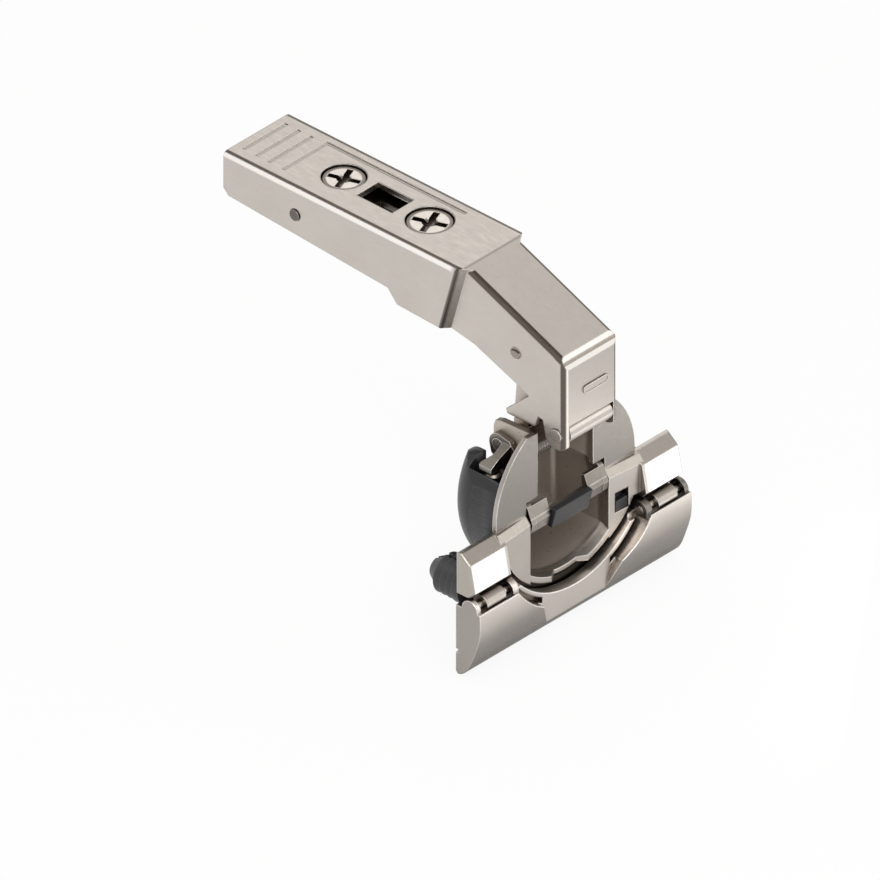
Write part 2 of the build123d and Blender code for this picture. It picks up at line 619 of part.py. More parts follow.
def flange():
    """Right half of the flange beside the window: rolled step above, round edge below, open behind."""
    lean = (FLANGE_OUT_X - FLANGE_IN_X) / (WING_IN - WINDOW_HALF)
    x = FLANGE_IN_X
    back_x, low_z = -FRONT_REACH, -CUP_R - 1
    front = [(back_x, BAND_TOP_Z), (PLATE, BAND_TOP_Z), (x, BAND_LOW_Z), (x, low_z), (back_x, low_z)]
    step, low_z = BAND_TOP_Z - PLATE, -CUP_R - 2
    bend = (x - PLATE, BAND_LOW_Z - PLATE / 2)
    behind = [(back_x, step), (0, step), bend, (x - PLATE, low_z), (back_x, low_z)]
    shape = rod_x(0, 0, FLANGE_R, 0, FRONT_REACH)
    shape += block(0, FRONT_REACH, WINDOW_HALF, WING_IN, FLANGE_LOW_Z, 0)
    shape = shape & block(0, FRONT_REACH, WINDOW_HALF, WING_IN, -CUP_R - 1, 0)
    solid = shape & leaning_slab(front, WINDOW_HALF, WING_IN + 1, lean)
    return solid - leaning_slab(behind, WINDOW_HALF - 1, WING_IN + 2, lean)


def wing():
    """Right wing: a folded shell, open at the back, walled at its two ends."""
    front = [(PLATE, BAND_TOP_Z), WING_RIDGE, WING_NOSE, WING_LOW]
    shell = slab([(0, BAND_TOP_Z)] + front + [(0, WING_LOW[1])], WING_IN - WING_SHEET, WING_HALF)
    end_edges = [
        e for e in shell.edges()
        if abs(e.center().Y - WING_HALF) < 0.01
        and e.center().X > PLATE and e.center().Z > WING_LOW[1] + 0.1
    ]
    shell = fillet(end_edges, WING_END_R)
    inner = inset_points(front, WING_SHEET)
    hollow = [(-1, inner[0][1])] + inner + [(inner[-1][0], WING_LOW[1] - 1), (-1, WING_LOW[1] - 1)]
    return shell - slab(hollow, WING_IN, WING_HALF - WING_SHEET)


def hinge_tab():
    """Tab behind the right wing, rolled forward round the pin of the fixing lever."""
    x, z = LEVER_PIVOT
    y0 = DOWEL_Y - KNUCKLE_IN + KNUCKLE_SIDE
    y1 = DOWEL_Y + KNUCKLE_OUT - KNUCKLE_SIDE
    low_z = z - KNUCKLE_R_OF_TAB
    tab = block(0, WING_SHEET, y0, y1, low_z, BAND_TOP_Z - PLATE / 2)
    tab += block(0, x, y0, y1, low_z, low_z + WING_SHEET)
    tab += rod_y(LEVER_PIVOT, KNUCKLE_R_OF_TAB, y0, y1)
    tab -= rod_y(LEVER_PIVOT, LEVER_PIN_R, y0 - 1, y1 + 1)
    return tab - rod_x(DOWEL_Y, WEDGE_Z, NECK_R + RUN_FIT, -1, 2)


def ear():
    """Right ear, bent back from the edge of the slot, with the two cup pins."""
    outline = [
        (0.3, EAR_TOP_Z),
        (EAR_REAR_X + 1.6, EAR_TOP_Z - 0.3),
        (EAR_REAR_X + 0.4, EAR_TOP_Z - 0.7),
        (EAR_REAR_X, EAR_TOP_Z - 1.8),
        (EAR_REAR_X, 3.2),
        (-6.9, 0.4),
        (-5.2, -0.8),
        (-2.7, SLOT_LOW_Z + 0.3),
        (0.3, SLOT_LOW_Z),
    ]
    plate = slab(outline, SLOT_HALF, SLOT_HALF + EAR_SHEET)
    plate -= rod_y(CUP_PIN_OUTER, PIN_R, 0, WINDOW_HALF)
    return plate - rod_y(CUP_PIN_INNER, PIN_R, 0, WINDOW_HALF)


def cup_plate():
    disc = rod_x(0, 0, CUP_R, 0, PLATE)
    ear_out = SLOT_HALF + EAR_SHEET
    for side in (-1, 1):
        corner = sorted((side * SLOT_HALF, side * (ear_out + 2.0)))
        disc -= block(-1, 2, corner[0], corner[1], EAR_TOP_Z, CUP_R + 1)
    disc -= block(-1, 2, -SLOT_HALF, SLOT_HALF, SLOT_LOW_Z, CUP_R + 1)
    disc -= block(-1, 2, -CUP_R, CUP_R, -CUP_R - 1, BAND_TOP_Z - PLATE)
    # drawn pan: flat sides, round wall below, its rim running on in front of the disc
    wide = WINDOW_HALF + PAN_WALL
    pan = drawn_wall(PAN_WALL, PAN_BACK_X, FLANGE_IN_X)
    pan = pan & block(PAN_BACK_X - 1, FRONT_REACH, -wide, wide, -CUP_R - 1, SLOT_LOW_Z)
    pan = fillet(pan_uprights(pan, PAN_BACK_X, WINDOW_HALF), PAN_CORNER_R + PAN_WALL)
    over_step = [(PLATE, CUP_R), (PLATE, BAND_TOP_Z), (FLANGE_IN_X, BAND_LOW_Z)]
    over_step += [(FRONT_REACH, BAND_LOW_Z), (FRONT_REACH, CUP_R)]
    pan -= slab(over_step, -wide - 1, wide + 1)
    inside = drawn_wall(0, PAN_BACK_X + PAN_WALL, FLANGE_IN_X + 1)
    inside = inside & block(PAN_BACK_X, FRONT_REACH, -WINDOW_HALF, WINDOW_HALF, -CUP_R - 1, SLOT_LOW_Z + 1)
    inside = fillet(pan_uprights(inside, PAN_BACK_X + PAN_WALL, WINDOW_HALF - 1), PAN_CORNER_R)
    plate = disc + pan
    for part in (flange(), wing(), hinge_tab(), ear()):
        plate += part
        plate += mirrored(part)
    plate -= inside & block(PAN_BACK_X, FRONT_REACH, -WINDOW_HALF, WINDOW_HALF, -CUP_R - 1, SLOT_LOW_Z)
    plate -= inside & block(PAN_BACK_X, 0, -WINDOW_HALF, WINDOW_HALF, 0, SLOT_LOW_Z + 1)
    # shallow notch in the middle of the rim
    deep, half = FLANGE_IN_X + 1 - RIM_NOTCH_X, RIM_NOTCH_HALF
    flare = half + RIM_NOTCH_RUN * deep / (FLANGE_IN_X - RIM_NOTCH_X)
    corners = [(RIM_NOTCH_X, -half), (RIM_NOTCH_X, half), (FLANGE_IN_X + 1, flare), (FLANGE_IN_X + 1, -flare)]
    notch = make_face(Polyline([(x, y, -CUP_R - 2) for x, y in corners], close=True))
    plate -= extrude(notch, amount=CUP_R / 2, dir=(0, 0, 1))
    # slot of the damper's switch
    y0, y1 = SWITCH_Y - SWITCH_HALF, SWITCH_Y + SWITCH_HALF
    z0, z1 = SWITCH_Z - SWITCH_SLOT_HALF, SWITCH_Z + SWITCH_SLOT_HALF
    return plate - block(PLATE / 2, FLANGE_OUT_X + 1, y0, y1, z0, z1)


def pan_uprights(shape, back_x, half):
    """Upright edges at the back of the pan's flat sides."""
    return [
        e for e in shape.edges().filter_by(Axis.Z)
        if e.center().X < back_x + 0.1 and abs(e.center().Y) > half
    ]


# ---------------------------------------------------------------- pot and damping
def cup_pot():
    """Plastic pot behind the disc, round the steel pan, with the damper bores."""
    front = make_face(Circle(POT_R).edges()) & Pos(0, POT_TOP_Z - POT_R, 0) * Rectangle(4 * POT_R, 2 * POT_R)
    corners = [v for v in front.vertices() if abs(v.Y - POT_TOP_Z) < 0.01]
    front = fillet(corners, POT_TOP_R)
    pot = Rot(0, 90, 0) * Rot(0, 0, 90) * extrude(front, amount=-CUP_DEPTH)
    pot = fillet([e for e in pot.edges() if e.center().X < -CUP_DEPTH + 0.1], POT_REAR_R)
    wide = WINDOW_HALF + PAN_WALL + POT_GAP
    room = rod_x(0, 0, PAN_R + PAN_WALL + POT_GAP, -CUP_DEPTH - 2, 1)
    pot -= block(-CUP_DEPTH - 1, 1, -wide, wide, -CUP_R - 1, 0) & room
    pot -= block(-CUP_DEPTH - 1, 1, -wide, wide, -0.5, CUP_R + 1)
    for side in (-1, 1):
        y = side * DAMPER_Y
        pocket = sorted((side * (wide - 1), side * POCKET_OUT))
        pot -= block(DAMPER_X - POCKET_BACK, 1, pocket[0], pocket[1], POCKET_Z, CUP_R + 1)
        boss = rod_z(DAMPER_X, y, COLLAR_R, POCKET_Z - 1, CYLINDER_TOP_Z)
        pot += boss & block(DAMPER_X - 9, -PLATE, pocket[0] + 1.2, pocket[1] - 1.2, 0, CUP_R)
        pot -= rod_z(DAMPER_X, y, DAMPER_R + POT_GAP, CYLINDER_LOW_Z - POT_GAP, CYLINDER_TOP_Z + 1)
        switch = sorted((side * (SWITCH_Y - SWITCH_HALF - 0.4), side * (SWITCH_Y + SWITCH_HALF + 0.4)))
        room = SWITCH_SLOT_HALF + SWITCH_ROOM
        pot -= block(-0.8, 1, switch[0], switch[1], SWITCH_Z - room, SWITCH_Z + room)
    return pot


def damper_cylinder(side):
    y = side * DAMPER_Y
    body = rod_z(DAMPER_X, y, DAMPER_R, CYLINDER_LOW_Z, CYLINDER_TOP_Z)
    return body - rod_z(DAMPER_X, y, PISTON_R + RUN_FIT, CYLINDER_LOW_Z + CYLINDER_FLOOR, CYLINDER_TOP_Z + 1)


def damper_piston(side):
    piston = rod_z(DAMPER_X, side * DAMPER_Y, PISTON_R, PISTON_TOP_Z - PISTON_LONG, PISTON_TOP_Z)
    return chamfer(piston.edges().sort_by(Axis.Z)[-1], PISTON_EDGE)


def lever_arm():
    """Right arm of the damper lever, from its pin down to the beak."""
    x, z = CUP_PIN_INNER
    outline = arc_points(CUP_PIN_INNER, 2.1, 200, 70, 8) + [
        (x + 2.6, z + 1.6),
        (ARM_FRONT_X - 0.6, z - 1.4),
        (ARM_FRONT_X, z - 2.4),
        (ARM_FRONT_X, SLOT_LOW_Z - 0.2),
        (0.9, 0.3),
        (2.1, -2.7),
        (1.8, -4.3),
        (0.7, -5.5),
        (0.1, -4.3),
        (-1.4, -2.0),
        (-2.4, 0.4),
        (-3.4, 4.8),
        (x - 1.6, z - 2.2),
    ]
    return slab(outline, ARM_OF_LEVER_IN, ARM_OF_LEVER_OUT)


def damper_lever():
    arm = lever_arm()
    z = CUP_PIN_INNER[1]
    lug = sheet_x([(ARM_OF_LEVER_IN + 0.2, z + 1.3), (DAMPER_Y - 0.6, z - 0.4),
                   (DAMPER_Y + 1.3, PISTON_TOP_Z + 1.2), (DAMPER_Y + 1.3, PISTON_TOP_Z + LUG_GAP),
                   (DAMPER_Y - 1.5, PISTON_TOP_Z + LUG_GAP), (DAMPER_Y - 2.3, z - 2.2),
                   (ARM_OF_LEVER_IN + 0.2, z - 1.6)],
                  DAMPER_X - 2.2, DAMPER_X + 0.6)
    lug = lug - rod_y(CUP_PIN_INNER, PIN_R + RUN_FIT, 0, POT_R)
    # cross bar: deep beside the bumper, a thin web behind it
    bar = slab([(0.9, 0.3), (2.0, -2.7), (1.5, -4.7), (0.3, -4.6), (0.1, 0.2)], BUMPER_HALF, ARM_OF_LEVER_OUT)
    lever = arm + lug + bar
    lever += mirrored(lever)
    web = [(1.78, -1.75), (0.75, -1.75), (0.1, -4.6), (0.97, -4.6)]
    lever += slab(web, -ARM_OF_LEVER_OUT, ARM_OF_LEVER_OUT)
    return lever - rod_y(CUP_PIN_INNER, PIN_R + RUN_FIT, -LEVER_BEAR_HALF, LEVER_BEAR_HALF)


def damper_bumper():
    """Plastic strip on the lever's cross bar that the link pushes."""
    outline = [(1.9, -1.4), (3.0, -1.7), (2.0, -5.6), (0.8, -5.3)]
    return slab(outline, -BUMPER_HALF + SLIDE_FIT, BUMPER_HALF - SLIDE_FIT)


def damper_switch():
    """Slide in the flange that turns the damper off, with its lip behind the sheet."""
    behind = FLANGE_IN_X - PLATE - SLIDE_FIT
    half = SWITCH_HALF - SLIDE_FIT
    face = block(behind - 0.3, FLANGE_OUT_X - 0.5, SWITCH_Y - half, SWITCH_Y + half,
                 SWITCH_Z - SWITCH_SLOT_HALF + SLIDE_FIT, SWITCH_Z + 0.2)
    return face + block(-0.5, behind, SWITCH_Y - SWITCH_HALF - 0.3, SWITCH_Y + SWITCH_HALF - 0.2,
                        SWITCH_Z - SWITCH_SLOT_HALF, SWITCH_Z + SWITCH_SLOT_HALF - 0.8)


def closing_spring():
    """Torsion spring, close-wound round the outer cup pin: a sleeve with one ridge for each turn."""
    inner = PIN_R + SPRING_GAP
    half = SPRING_TURNS * SPRING_WIRE / 2
    outline = [(-half, inner)]
    for turn in range(SPRING_TURNS):
        y = (turn - SPRING_TURNS / 2) * SPRING_WIRE
        outline += [(y, inner + SPRING_WIRE / 2), (y + SPRING_WIRE / 2, inner + SPRING_WIRE)]
    outline += [(half, inner + SPRING_WIRE / 2), (half, inner)]
    sleeve = revolve(make_face(Polyline([(r, y, 0) for y, r in outline], close=True)), Axis.Y)
    return Pos(CUP_PIN_OUTER[0], 0, CUP_PIN_OUTER[1]) * sleeve


# ---------------------------------------------------------------- fixing lever and dowels
def lever_form(inset, half):
    """Curved front of the lever with its back at x = 0, set in by the given amount."""
    front = inset_points([LEVER_RIM] + LEVER_FRONT, inset)
    low = (0, LEVER_LOW_Z + inset)
    top = (0, LEVER_RIM[1] + inset)
    sides = Polyline([(x, -half, z) for x, z in (low, top, front[0])])
    curve = Spline([(x, -half, z) for x, z in front + [low]])
    return extrude(make_face(sides.edges() + curve.edges()), amount=2 * half, dir=(0, 1, 0))


def sunk_middle(grow):
    """Region (y, z) of the lever's sunk middle as a prism along x."""
    half, z = MIDDLE_HALF + grow, MIDDLE_Z
    low_z = LEVER_LOW_Z - 2
    low_half = half - MIDDLE_LEAN * (z - low_z)
    top_z = DOWEL_Z
    corners = [(-half, top_z), (half, top_z), (half, z), (low_half, low_z), (-low_half, low_z), (-half, z)]
    return sheet_x(corners, -2, FRONT_REACH) + rod_x(0, 0, MIDDLE_R + grow, -2, FRONT_REACH)


def fixing_lever():
    """Die-cast lever on the two dowels: raised ends, sunk middle round the cup, hollow behind."""
    x, z = LEVER_PIVOT
    lug_r = KNUCKLE_R_OF_TAB
    form = lever_form(0, LEVER_HALF)
    low_corners = [
        e for e in form.edges().filter_by(Axis.Y)
        if e.center().X < 0.1 and e.center().Z < LEVER_LOW_Z + 0.1
    ]
    form = chamfer(low_corners, LEVER_BACK_R / 3)
    low_z = LEVER_LOW_Z - 2
    shell = form - (sunk_middle(0) & block(MIDDLE_X, FRONT_REACH, -LEVER_HALF, LEVER_HALF, low_z, 0))
    # groove between the sunk middle and the raised ends
    deep_x, out_x = VALLEY_X - 1, FRONT_REACH + 1
    groove = rod_x(0, 0, MIDDLE_R, VALLEY_X, FRONT_REACH) - rod_x(0, 0, MIDDLE_R - VALLEY_WIDE, deep_x, out_x)
    shell -= groove - block(deep_x, out_x, -VALLEY_HALF, VALLEY_HALF, low_z, -low_z)
    room = lever_form(LEVER_SHEET, LEVER_HALF - LEVER_SHEET)
    hollow = room + Pos(-LEVER_SHEET - 1, 0, 0) * room
    middle = block(VALLEY_X - LEVER_SHEET, FRONT_REACH, -LEVER_HALF, LEVER_HALF, low_z, 0)
    hollow -= sunk_middle(LEVER_SHEET) & middle
    lever = shell - hollow
    # lugs on the pin at both ends of each slot
    for side in (-1, 1):
        y0, y1 = DOWEL_Y - KNUCKLE_IN, DOWEL_Y + KNUCKLE_OUT
        for a, b in ((y0 - LUG_WIDE, y0), (y1, LEVER_HALF)):
            ends = sorted((side * a, side * b))
            lever += rod_y(LEVER_PIVOT, lug_r, ends[0], ends[1])
            lever += block(x - lug_r, x + lug_r, ends[0], ends[1], z - LUG_ROOT, z)
        slot = sorted((side * y0, side * y1))
        lever -= block(-2, x + lug_r + SIDE_GAP, slot[0], slot[1], z - lug_r - SIDE_GAP, z + 3)
        nick = sorted((side * (LEVER_HALF - LEVER_SHEET - 1), side * (LEVER_HALF + 1)))
        lever -= block(-1, NOTCH_DEEP, nick[0], nick[1], NOTCH_Z - NOTCH_HALF, NOTCH_Z + NOTCH_HALF)
    lever -= rod_x(0, 0, MIDDLE_IN_R, -3, FRONT_REACH)
    pin_end = LEVER_HALF - LEVER_SHEET / 2
    return lever - rod_y(LEVER_PIVOT, LEVER_PIN_R + RUN_FIT, -pin_end, pin_end)


def lever_pin(side):
    y0 = DOWEL_Y - KNUCKLE_IN - LUG_WIDE
    ends = sorted((side * y0, side * (LEVER_HALF - LEVER_SHEET / 2 - SLIDE_FIT)))
    return rod_y(LEVER_PIVOT, LEVER_PIN_R, ends[0], ends[1])


def dowel(side):
    """Split expanding dowel: plain collar at its root, barbs, its neck through the wing's tab."""
    y = side * DOWEL_Y
    shape = [(0, 0), (0, DOWEL_R), (-COLLAR_LONG, DOWEL_R)]
    for barb in range(BARBS):
        x = -COLLAR_LONG - BARB_LONG * barb
        shape += [(x, DOWEL_R - BARB_HIGH), (x - BARB_LONG, DOWEL_R - BARB_HIGH / 5)]
    shape += [(x - BARB_LONG, DOWEL_R - BARB_HIGH), (-DOWEL_LONG, DOWEL_R / 2), (-DOWEL_LONG, 0)]
    body = revolve(make_face(Polyline([(x, r, 0) for x, r in shape], close=True)), Axis.X)
    body = Pos(0, y, DOWEL_Z) * body
    body += rod_x(y, WEDGE_Z, NECK_R, -0.5, WING_SHEET)
    body -= rod_x(y, WEDGE_Z, WEDGE_R + RUN_FIT, -DOWEL_LONG + DOWEL_FLOOR, 2)
    half = DOWEL_SPLIT / 2
    z0, z1 = DOWEL_Z - DOWEL_R - 1, DOWEL_Z + DOWEL_R + 1
    return body - block(-DOWEL_LONG - 1, -2 * COLLAR_LONG, y - half, y + half, z0, z1)


def dowel_wedge(side):
    y = side * DOWEL_Y
    wedge = rod_x(y, WEDGE_Z, WEDGE_R, -DOWEL_LONG + WEDGE_START, WEDGE_FRONT_X - WEDGE_HEAD / 2)
    return wedge + rod_x(y, WEDGE_Z, WEDGE_HEAD_R, WEDGE_FRONT_X - WEDGE_HEAD, WEDGE_FRONT_X)


def main():
    os.makedirs("parts", exist_ok=True)
    save(hinge_arm(), "hinge_arm")
    save(side_frame(), "side_frame")
    save(clip_channel(), "clip_channel")
    save(hook_pin(), "hook_pin")
    save(catch_pin(), "catch_pin")
    save(release_catch(), "release_catch")
    save(catch_spring(), "catch_spring")
    save(side_screw(), "side_screw")
    save(depth_screw(), "depth_screw")
    save(link_outer(), "outer_link")
    save(link_inner(), "inner_link")
    save(nose_pin_front(), "nose_pin_front")
    save(nose_pin_rear(), "nose_pin_rear")
    save(cup_pin_outer(), "cup_pin_outer")
    save(cup_pin_inner(), "cup_pin_inner")
    save(cup_plate(), "cup_plate")
    save(cup_pot(), "cup_pot")
    save(damper_lever(), "damper_lever")
    save(damper_bumper(), "damper_bumper")
    save(damper_switch(), "damper_switch")
    save(closing_spring(), "closing_spring")
    save(fixing_lever(), "fixing_lever")
    for side, name in ((-1, "left"), (1, "right")):
        save(frame_pin(side), "frame_pin_" + name)
        save(damper_cylinder(side), "damper_cylinder_" + name)
        save(damper_piston(side), "damper_piston_" + name)
        save(lever_pin(side), "lever_pin_" + name)
        save(dowel(side), "dowel_" + name)
        save(dowel_wedge(side), "dowel_wedge_" + name)


main()
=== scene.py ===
import json
import math

import bpy
from mathutils import Matrix, Vector


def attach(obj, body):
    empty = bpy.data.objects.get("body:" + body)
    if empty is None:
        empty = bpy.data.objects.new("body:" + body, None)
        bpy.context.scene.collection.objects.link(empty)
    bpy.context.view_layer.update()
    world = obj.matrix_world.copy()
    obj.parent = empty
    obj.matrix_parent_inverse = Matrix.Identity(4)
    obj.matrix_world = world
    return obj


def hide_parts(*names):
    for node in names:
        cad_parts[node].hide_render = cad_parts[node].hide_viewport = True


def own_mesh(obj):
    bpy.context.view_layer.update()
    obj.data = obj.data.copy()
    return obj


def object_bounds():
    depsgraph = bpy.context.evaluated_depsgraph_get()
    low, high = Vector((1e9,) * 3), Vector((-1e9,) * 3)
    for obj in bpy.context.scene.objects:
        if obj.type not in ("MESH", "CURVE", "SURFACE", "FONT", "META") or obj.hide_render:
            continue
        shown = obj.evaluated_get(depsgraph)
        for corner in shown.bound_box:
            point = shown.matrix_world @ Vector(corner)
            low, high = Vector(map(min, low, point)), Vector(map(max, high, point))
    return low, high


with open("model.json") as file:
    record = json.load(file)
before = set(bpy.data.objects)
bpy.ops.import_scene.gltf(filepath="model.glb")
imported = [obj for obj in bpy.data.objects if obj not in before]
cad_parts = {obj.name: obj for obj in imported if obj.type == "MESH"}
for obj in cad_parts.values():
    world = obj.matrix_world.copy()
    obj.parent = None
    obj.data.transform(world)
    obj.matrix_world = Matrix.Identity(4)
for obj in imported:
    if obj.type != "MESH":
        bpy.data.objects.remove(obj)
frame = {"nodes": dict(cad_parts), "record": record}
cad_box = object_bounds()
nodes = frame["nodes"]

MM = 0.001
BEVEL_SAMPLES, AIR_SAMPLES = 6, 8
ROUNDED = 0.82      # cosine between the bevelled and the true normal on an edge's rounding


# ------------------------------------------------------------------ node helpers
class Tree:
    """A small helper round a material's node tree."""

    def __init__(self, name):
        self.mat = bpy.data.materials.new(name)
        self.mat.use_nodes = True
        self.nt = self.mat.node_tree
        self.nt.nodes.clear()
        self.out = self.nt.nodes.new("ShaderNodeOutputMaterial")

    def add(self, kind, **values):
        node = self.nt.nodes.new(kind)
        for key, value in values.items():
            setattr(node, key, value)
        return node

    def link(self, a, b):
        self.nt.links.new(a, b)

    def split(self, vector):
        """The x, y and z values of a vector."""
        parts = self.add("ShaderNodeSeparateXYZ")
        self.link(vector, parts.inputs[0])
        return parts.outputs

    def coords(self):
        return self.add("ShaderNodeTexCoord").outputs["Object"]

    def noise(self, vector, scale, detail, rough=0.6):
        node = self.add("ShaderNodeTexNoise")
        node.inputs["Scale"].default_value = scale
        node.inputs["Detail"].default_value = detail
        node.inputs["Roughness"].default_value = rough
        self.link(vector, node.inputs["Vector"])
        return node.outputs["Fac"]

    def stretch(self, vector, scale):
        node = self.add("ShaderNodeMapping")
        node.inputs["Scale"].default_value = scale
        self.link(vector, node.inputs["Vector"])
        return node.outputs["Vector"]

    def ramp(self, fac, stops):
        node = self.add("ShaderNodeValToRGB")
        ramp = node.color_ramp
        while len(ramp.elements) < len(stops):
            ramp.elements.new(0.5)
        for element, (pos, col) in zip(ramp.elements, stops):
            element.position = pos
            element.color = (*col, 1.0)
        self.link(fac, node.inputs["Fac"])
        return node.outputs["Color"]

    def rescale(self, value, lo, hi, out_lo, out_hi):
        node = self.add("ShaderNodeMapRange")
        node.inputs["From Min"].default_value = lo
        node.inputs["From Max"].default_value = hi
        node.inputs["To Min"].default_value = out_lo
        node.inputs["To Max"].default_value = out_hi
        self.link(value, node.inputs["Value"])
        return node.outputs["Result"]

    def rise(self, value, start, end, full=1.0):
        """0 at the start, full at the end and beyond."""
        return self.rescale(value, start, end, 0.0, full)

    def fall(self, value, start, end, full=1.0):
        """Full at the start, 0 at the end and beyond."""
        return self.rescale(value, start, end, full, 0.0)

    def band(self, value, lo, hi, soft):
        """1 between lo and hi, 0 outside, with soft sides."""
        return self.times(self.rise(value, lo - soft, lo + soft),
                          self.fall(value, hi - soft, hi + soft))

    def calc(self, operation, a, b=0.0):
        node = self.add("ShaderNodeMath", operation=operation)
        for sock, value in ((node.inputs[0], a), (node.inputs[1], b)):
            if isinstance(value, (int, float)):
                sock.default_value = value
            else:
                self.link(value, sock)
        return node.outputs[0]

    def times(self, a, b):
        return self.calc("MULTIPLY", a, b)

    def unsigned(self, value):
        return self.calc("ABSOLUTE", value)

    def length(self, a, b):
        """The length of a vector with two parts."""
        return self.calc("SQRT", self.calc("ADD", self.times(a, a), self.times(b, b)))

    def mix(self, fac, a, b):
        node = self.add("ShaderNodeMix", data_type="RGBA")
        self.link(fac, node.inputs["Factor"])
        for sock, value in ((node.inputs["A"], a), (node.inputs["B"], b)):
            if isinstance(value, tuple):
                sock.default_value = (*value, 1.0)
            else:
                self.link(value, sock)
        return node.outputs["Result"]

    def edge(self, radius):
        """A bevel node, and a value that is 0 on flat ground and 1 on an edge's rounding."""
        bevel = self.add("ShaderNodeBevel", samples=BEVEL_SAMPLES)
        bevel.inputs["Radius"].default_value = radius
        geo = self.add("ShaderNodeNewGeometry")
        dot = self.add("ShaderNodeVectorMath", operation="DOT_PRODUCT")
        self.link(bevel.outputs["Normal"], dot.inputs[0])
        self.link(geo.outputs["Normal"], dot.inputs[1])
        return bevel, self.rise(dot.outputs["Value"], 1.0, ROUNDED)

    def open_air(self, distance):
        """1 where a point sees open air within the given distance, 0 deep in a crevice."""
        node = self.add("ShaderNodeAmbientOcclusion", samples=AIR_SAMPLES)
        node.inputs["Distance"].default_value = distance
        return node.outputs["AO"]

    def own_normal(self, normal):
        """A world-space normal turned into the piece's own axes, as x, y and z values."""
        turn = self.add("ShaderNodeVectorTransform",
                        vector_type="NORMAL", convert_from="WORLD", convert_to="OBJECT")
        self.link(normal, turn.inputs[0])
        return self.split(turn.outputs[0])

    def place(self):
        """A point's place in the piece's own axes, as x, y and z values in metres."""
        return self.split(self.coords())

    def bump(self, height, strength, distance, normal):
        node = self.add("ShaderNodeBump")
        node.inputs["Strength"].default_value = strength
        node.inputs["Distance"].default_value = distance
        self.link(height, node.inputs["Height"])
        self.link(normal, node.inputs["Normal"])
        return node.outputs["Normal"]


GRAIN_RANGE = (0.3, 0.7)            # noise values that the roughness is spread over
GRAIN_DEPTH = 0.00003
METAL_CLOUD, METAL_GRAIN, METAL_BUMP = 90.0, 1500.0, 0.06
PLASTIC_CLOUD, PLASTIC_GRAIN, PLASTIC_BUMP = 160.0, 2600.0, 0.12
LENGTHWISE = (0.25, 1, 1)           # stretches the grain along the sheet
HOLLOW_REACH, CREVICE_REACH = 0.012, 0.0014
HOLLOW_SHADE = (0.56, 0.50, 0.44)   # painted shade: factors on the metal's dark tone
CREVICE_SHADE = (0.22, 0.18, 0.15)
PALE_METALLIC = 0.15                # matt, where a finish's mask is full: the arm's painted highlights and the pan's inside


def surface(t, bsdf, colour, grain, rough, bump_strength, bevel_normal):
    """Connect a material's colour, and its grain as both roughness and bump."""
    t.link(colour, bsdf.inputs["Base Color"])
    t.link(t.rescale(grain, *GRAIN_RANGE, *rough), bsdf.inputs["Roughness"])
    t.link(t.bump(grain, bump_strength, GRAIN_DEPTH, bevel_normal), bsdf.inputs["Normal"])
    t.link(bsdf.outputs["BSDF"], t.out.inputs["Surface"])
    return t.mat


def plated_metal(name, dark, light, edge_sheen_tone, rough=(0.26, 0.40), bevel=0.00022,
                 grain=(1, 1, 1), finish=None):
    """Nickel plate over sheet steel: cloudy tone, fine drawn grain, edges painted lighter as part
    wear and part highlight, and painted shade in hollows and crevices.

    finish may paint light and shade into the colour by the piece's own normals and places. It
    gives back the colour and a mask, or None, where the metal turns matt and pale, as on painted
    highlights.
    """
    t = Tree(name)
    where = t.coords()
    cloud = t.noise(where, METAL_CLOUD, detail=3.0)
    drawn = t.noise(t.stretch(where, grain), METAL_GRAIN, detail=3.0, rough=0.7)
    tone = t.ramp(cloud, [(0.32, dark), (0.68, light)])
    bevel_node, edge = t.edge(bevel)
    bevel_normal = bevel_node.outputs["Normal"]
    # edges painted lighter: part wear, part painted highlight
    colour = t.mix(edge, tone, edge_sheen_tone)
    # painted shade: darker in hollows, and darker still in crevices, where less light reaches
    out_of_hollow = t.rise(t.open_air(HOLLOW_REACH), 0.15, 0.75)
    out_of_crevice = t.rise(t.open_air(CREVICE_REACH), 0.35, 0.80)
    colour = t.mix(out_of_hollow, tuple(a * b for a, b in zip(dark, HOLLOW_SHADE)), colour)
    colour = t.mix(out_of_crevice, tuple(a * b for a, b in zip(dark, CREVICE_SHADE)), colour)
    pale = None
    if finish is not None:
        colour, pale = finish(t, colour, t.own_normal(bevel_normal), t.place())
    bsdf = t.add("ShaderNodeBsdfPrincipled")
    bsdf.inputs["Metallic"].default_value = 1.0
    if pale is not None:
        t.link(t.rescale(pale, 0.0, 1.0, 1.0, PALE_METALLIC), bsdf.inputs["Metallic"])
    return surface(t, bsdf, colour, drawn, rough, METAL_BUMP, bevel_normal)


def moulded_plastic(name, base, sheen, rough=(0.35, 0.5), bevel=0.0003):
    """Moulded plastic: fine grain, edges rounded by the bevel and painted slightly lighter, part
    wear and part sheen.
    """
    t = Tree(name)
    where = t.coords()
    cloud = t.noise(where, PLASTIC_CLOUD, detail=3.0)
    grain = t.noise(where, PLASTIC_GRAIN, detail=2.0)
    tone = t.ramp(cloud, [(0.3, base), (0.7, tuple(c * 1.25 for c in base))])
    bevel_node, edge = t.edge(bevel)
    bevel_normal = bevel_node.outputs["Normal"]
    bsdf = t.add("ShaderNodeBsdfPrincipled")
    colour = t.mix(edge, tone, sheen)
    return surface(t, bsdf, colour, grain, rough, PLASTIC_BUMP, bevel_normal)


# ------------------------------------------------------------------ finishes
# Limits on a normal are cosines of the surface's tilt. Limits on a place are in metres.
# painted reflection lines along bends: a dark line, and a painted highlight
DARK_REFLECTION_LINE = (0.075, 0.060, 0.048)
HIGHLIGHT_LINE = (0.90, 0.865, 0.83)

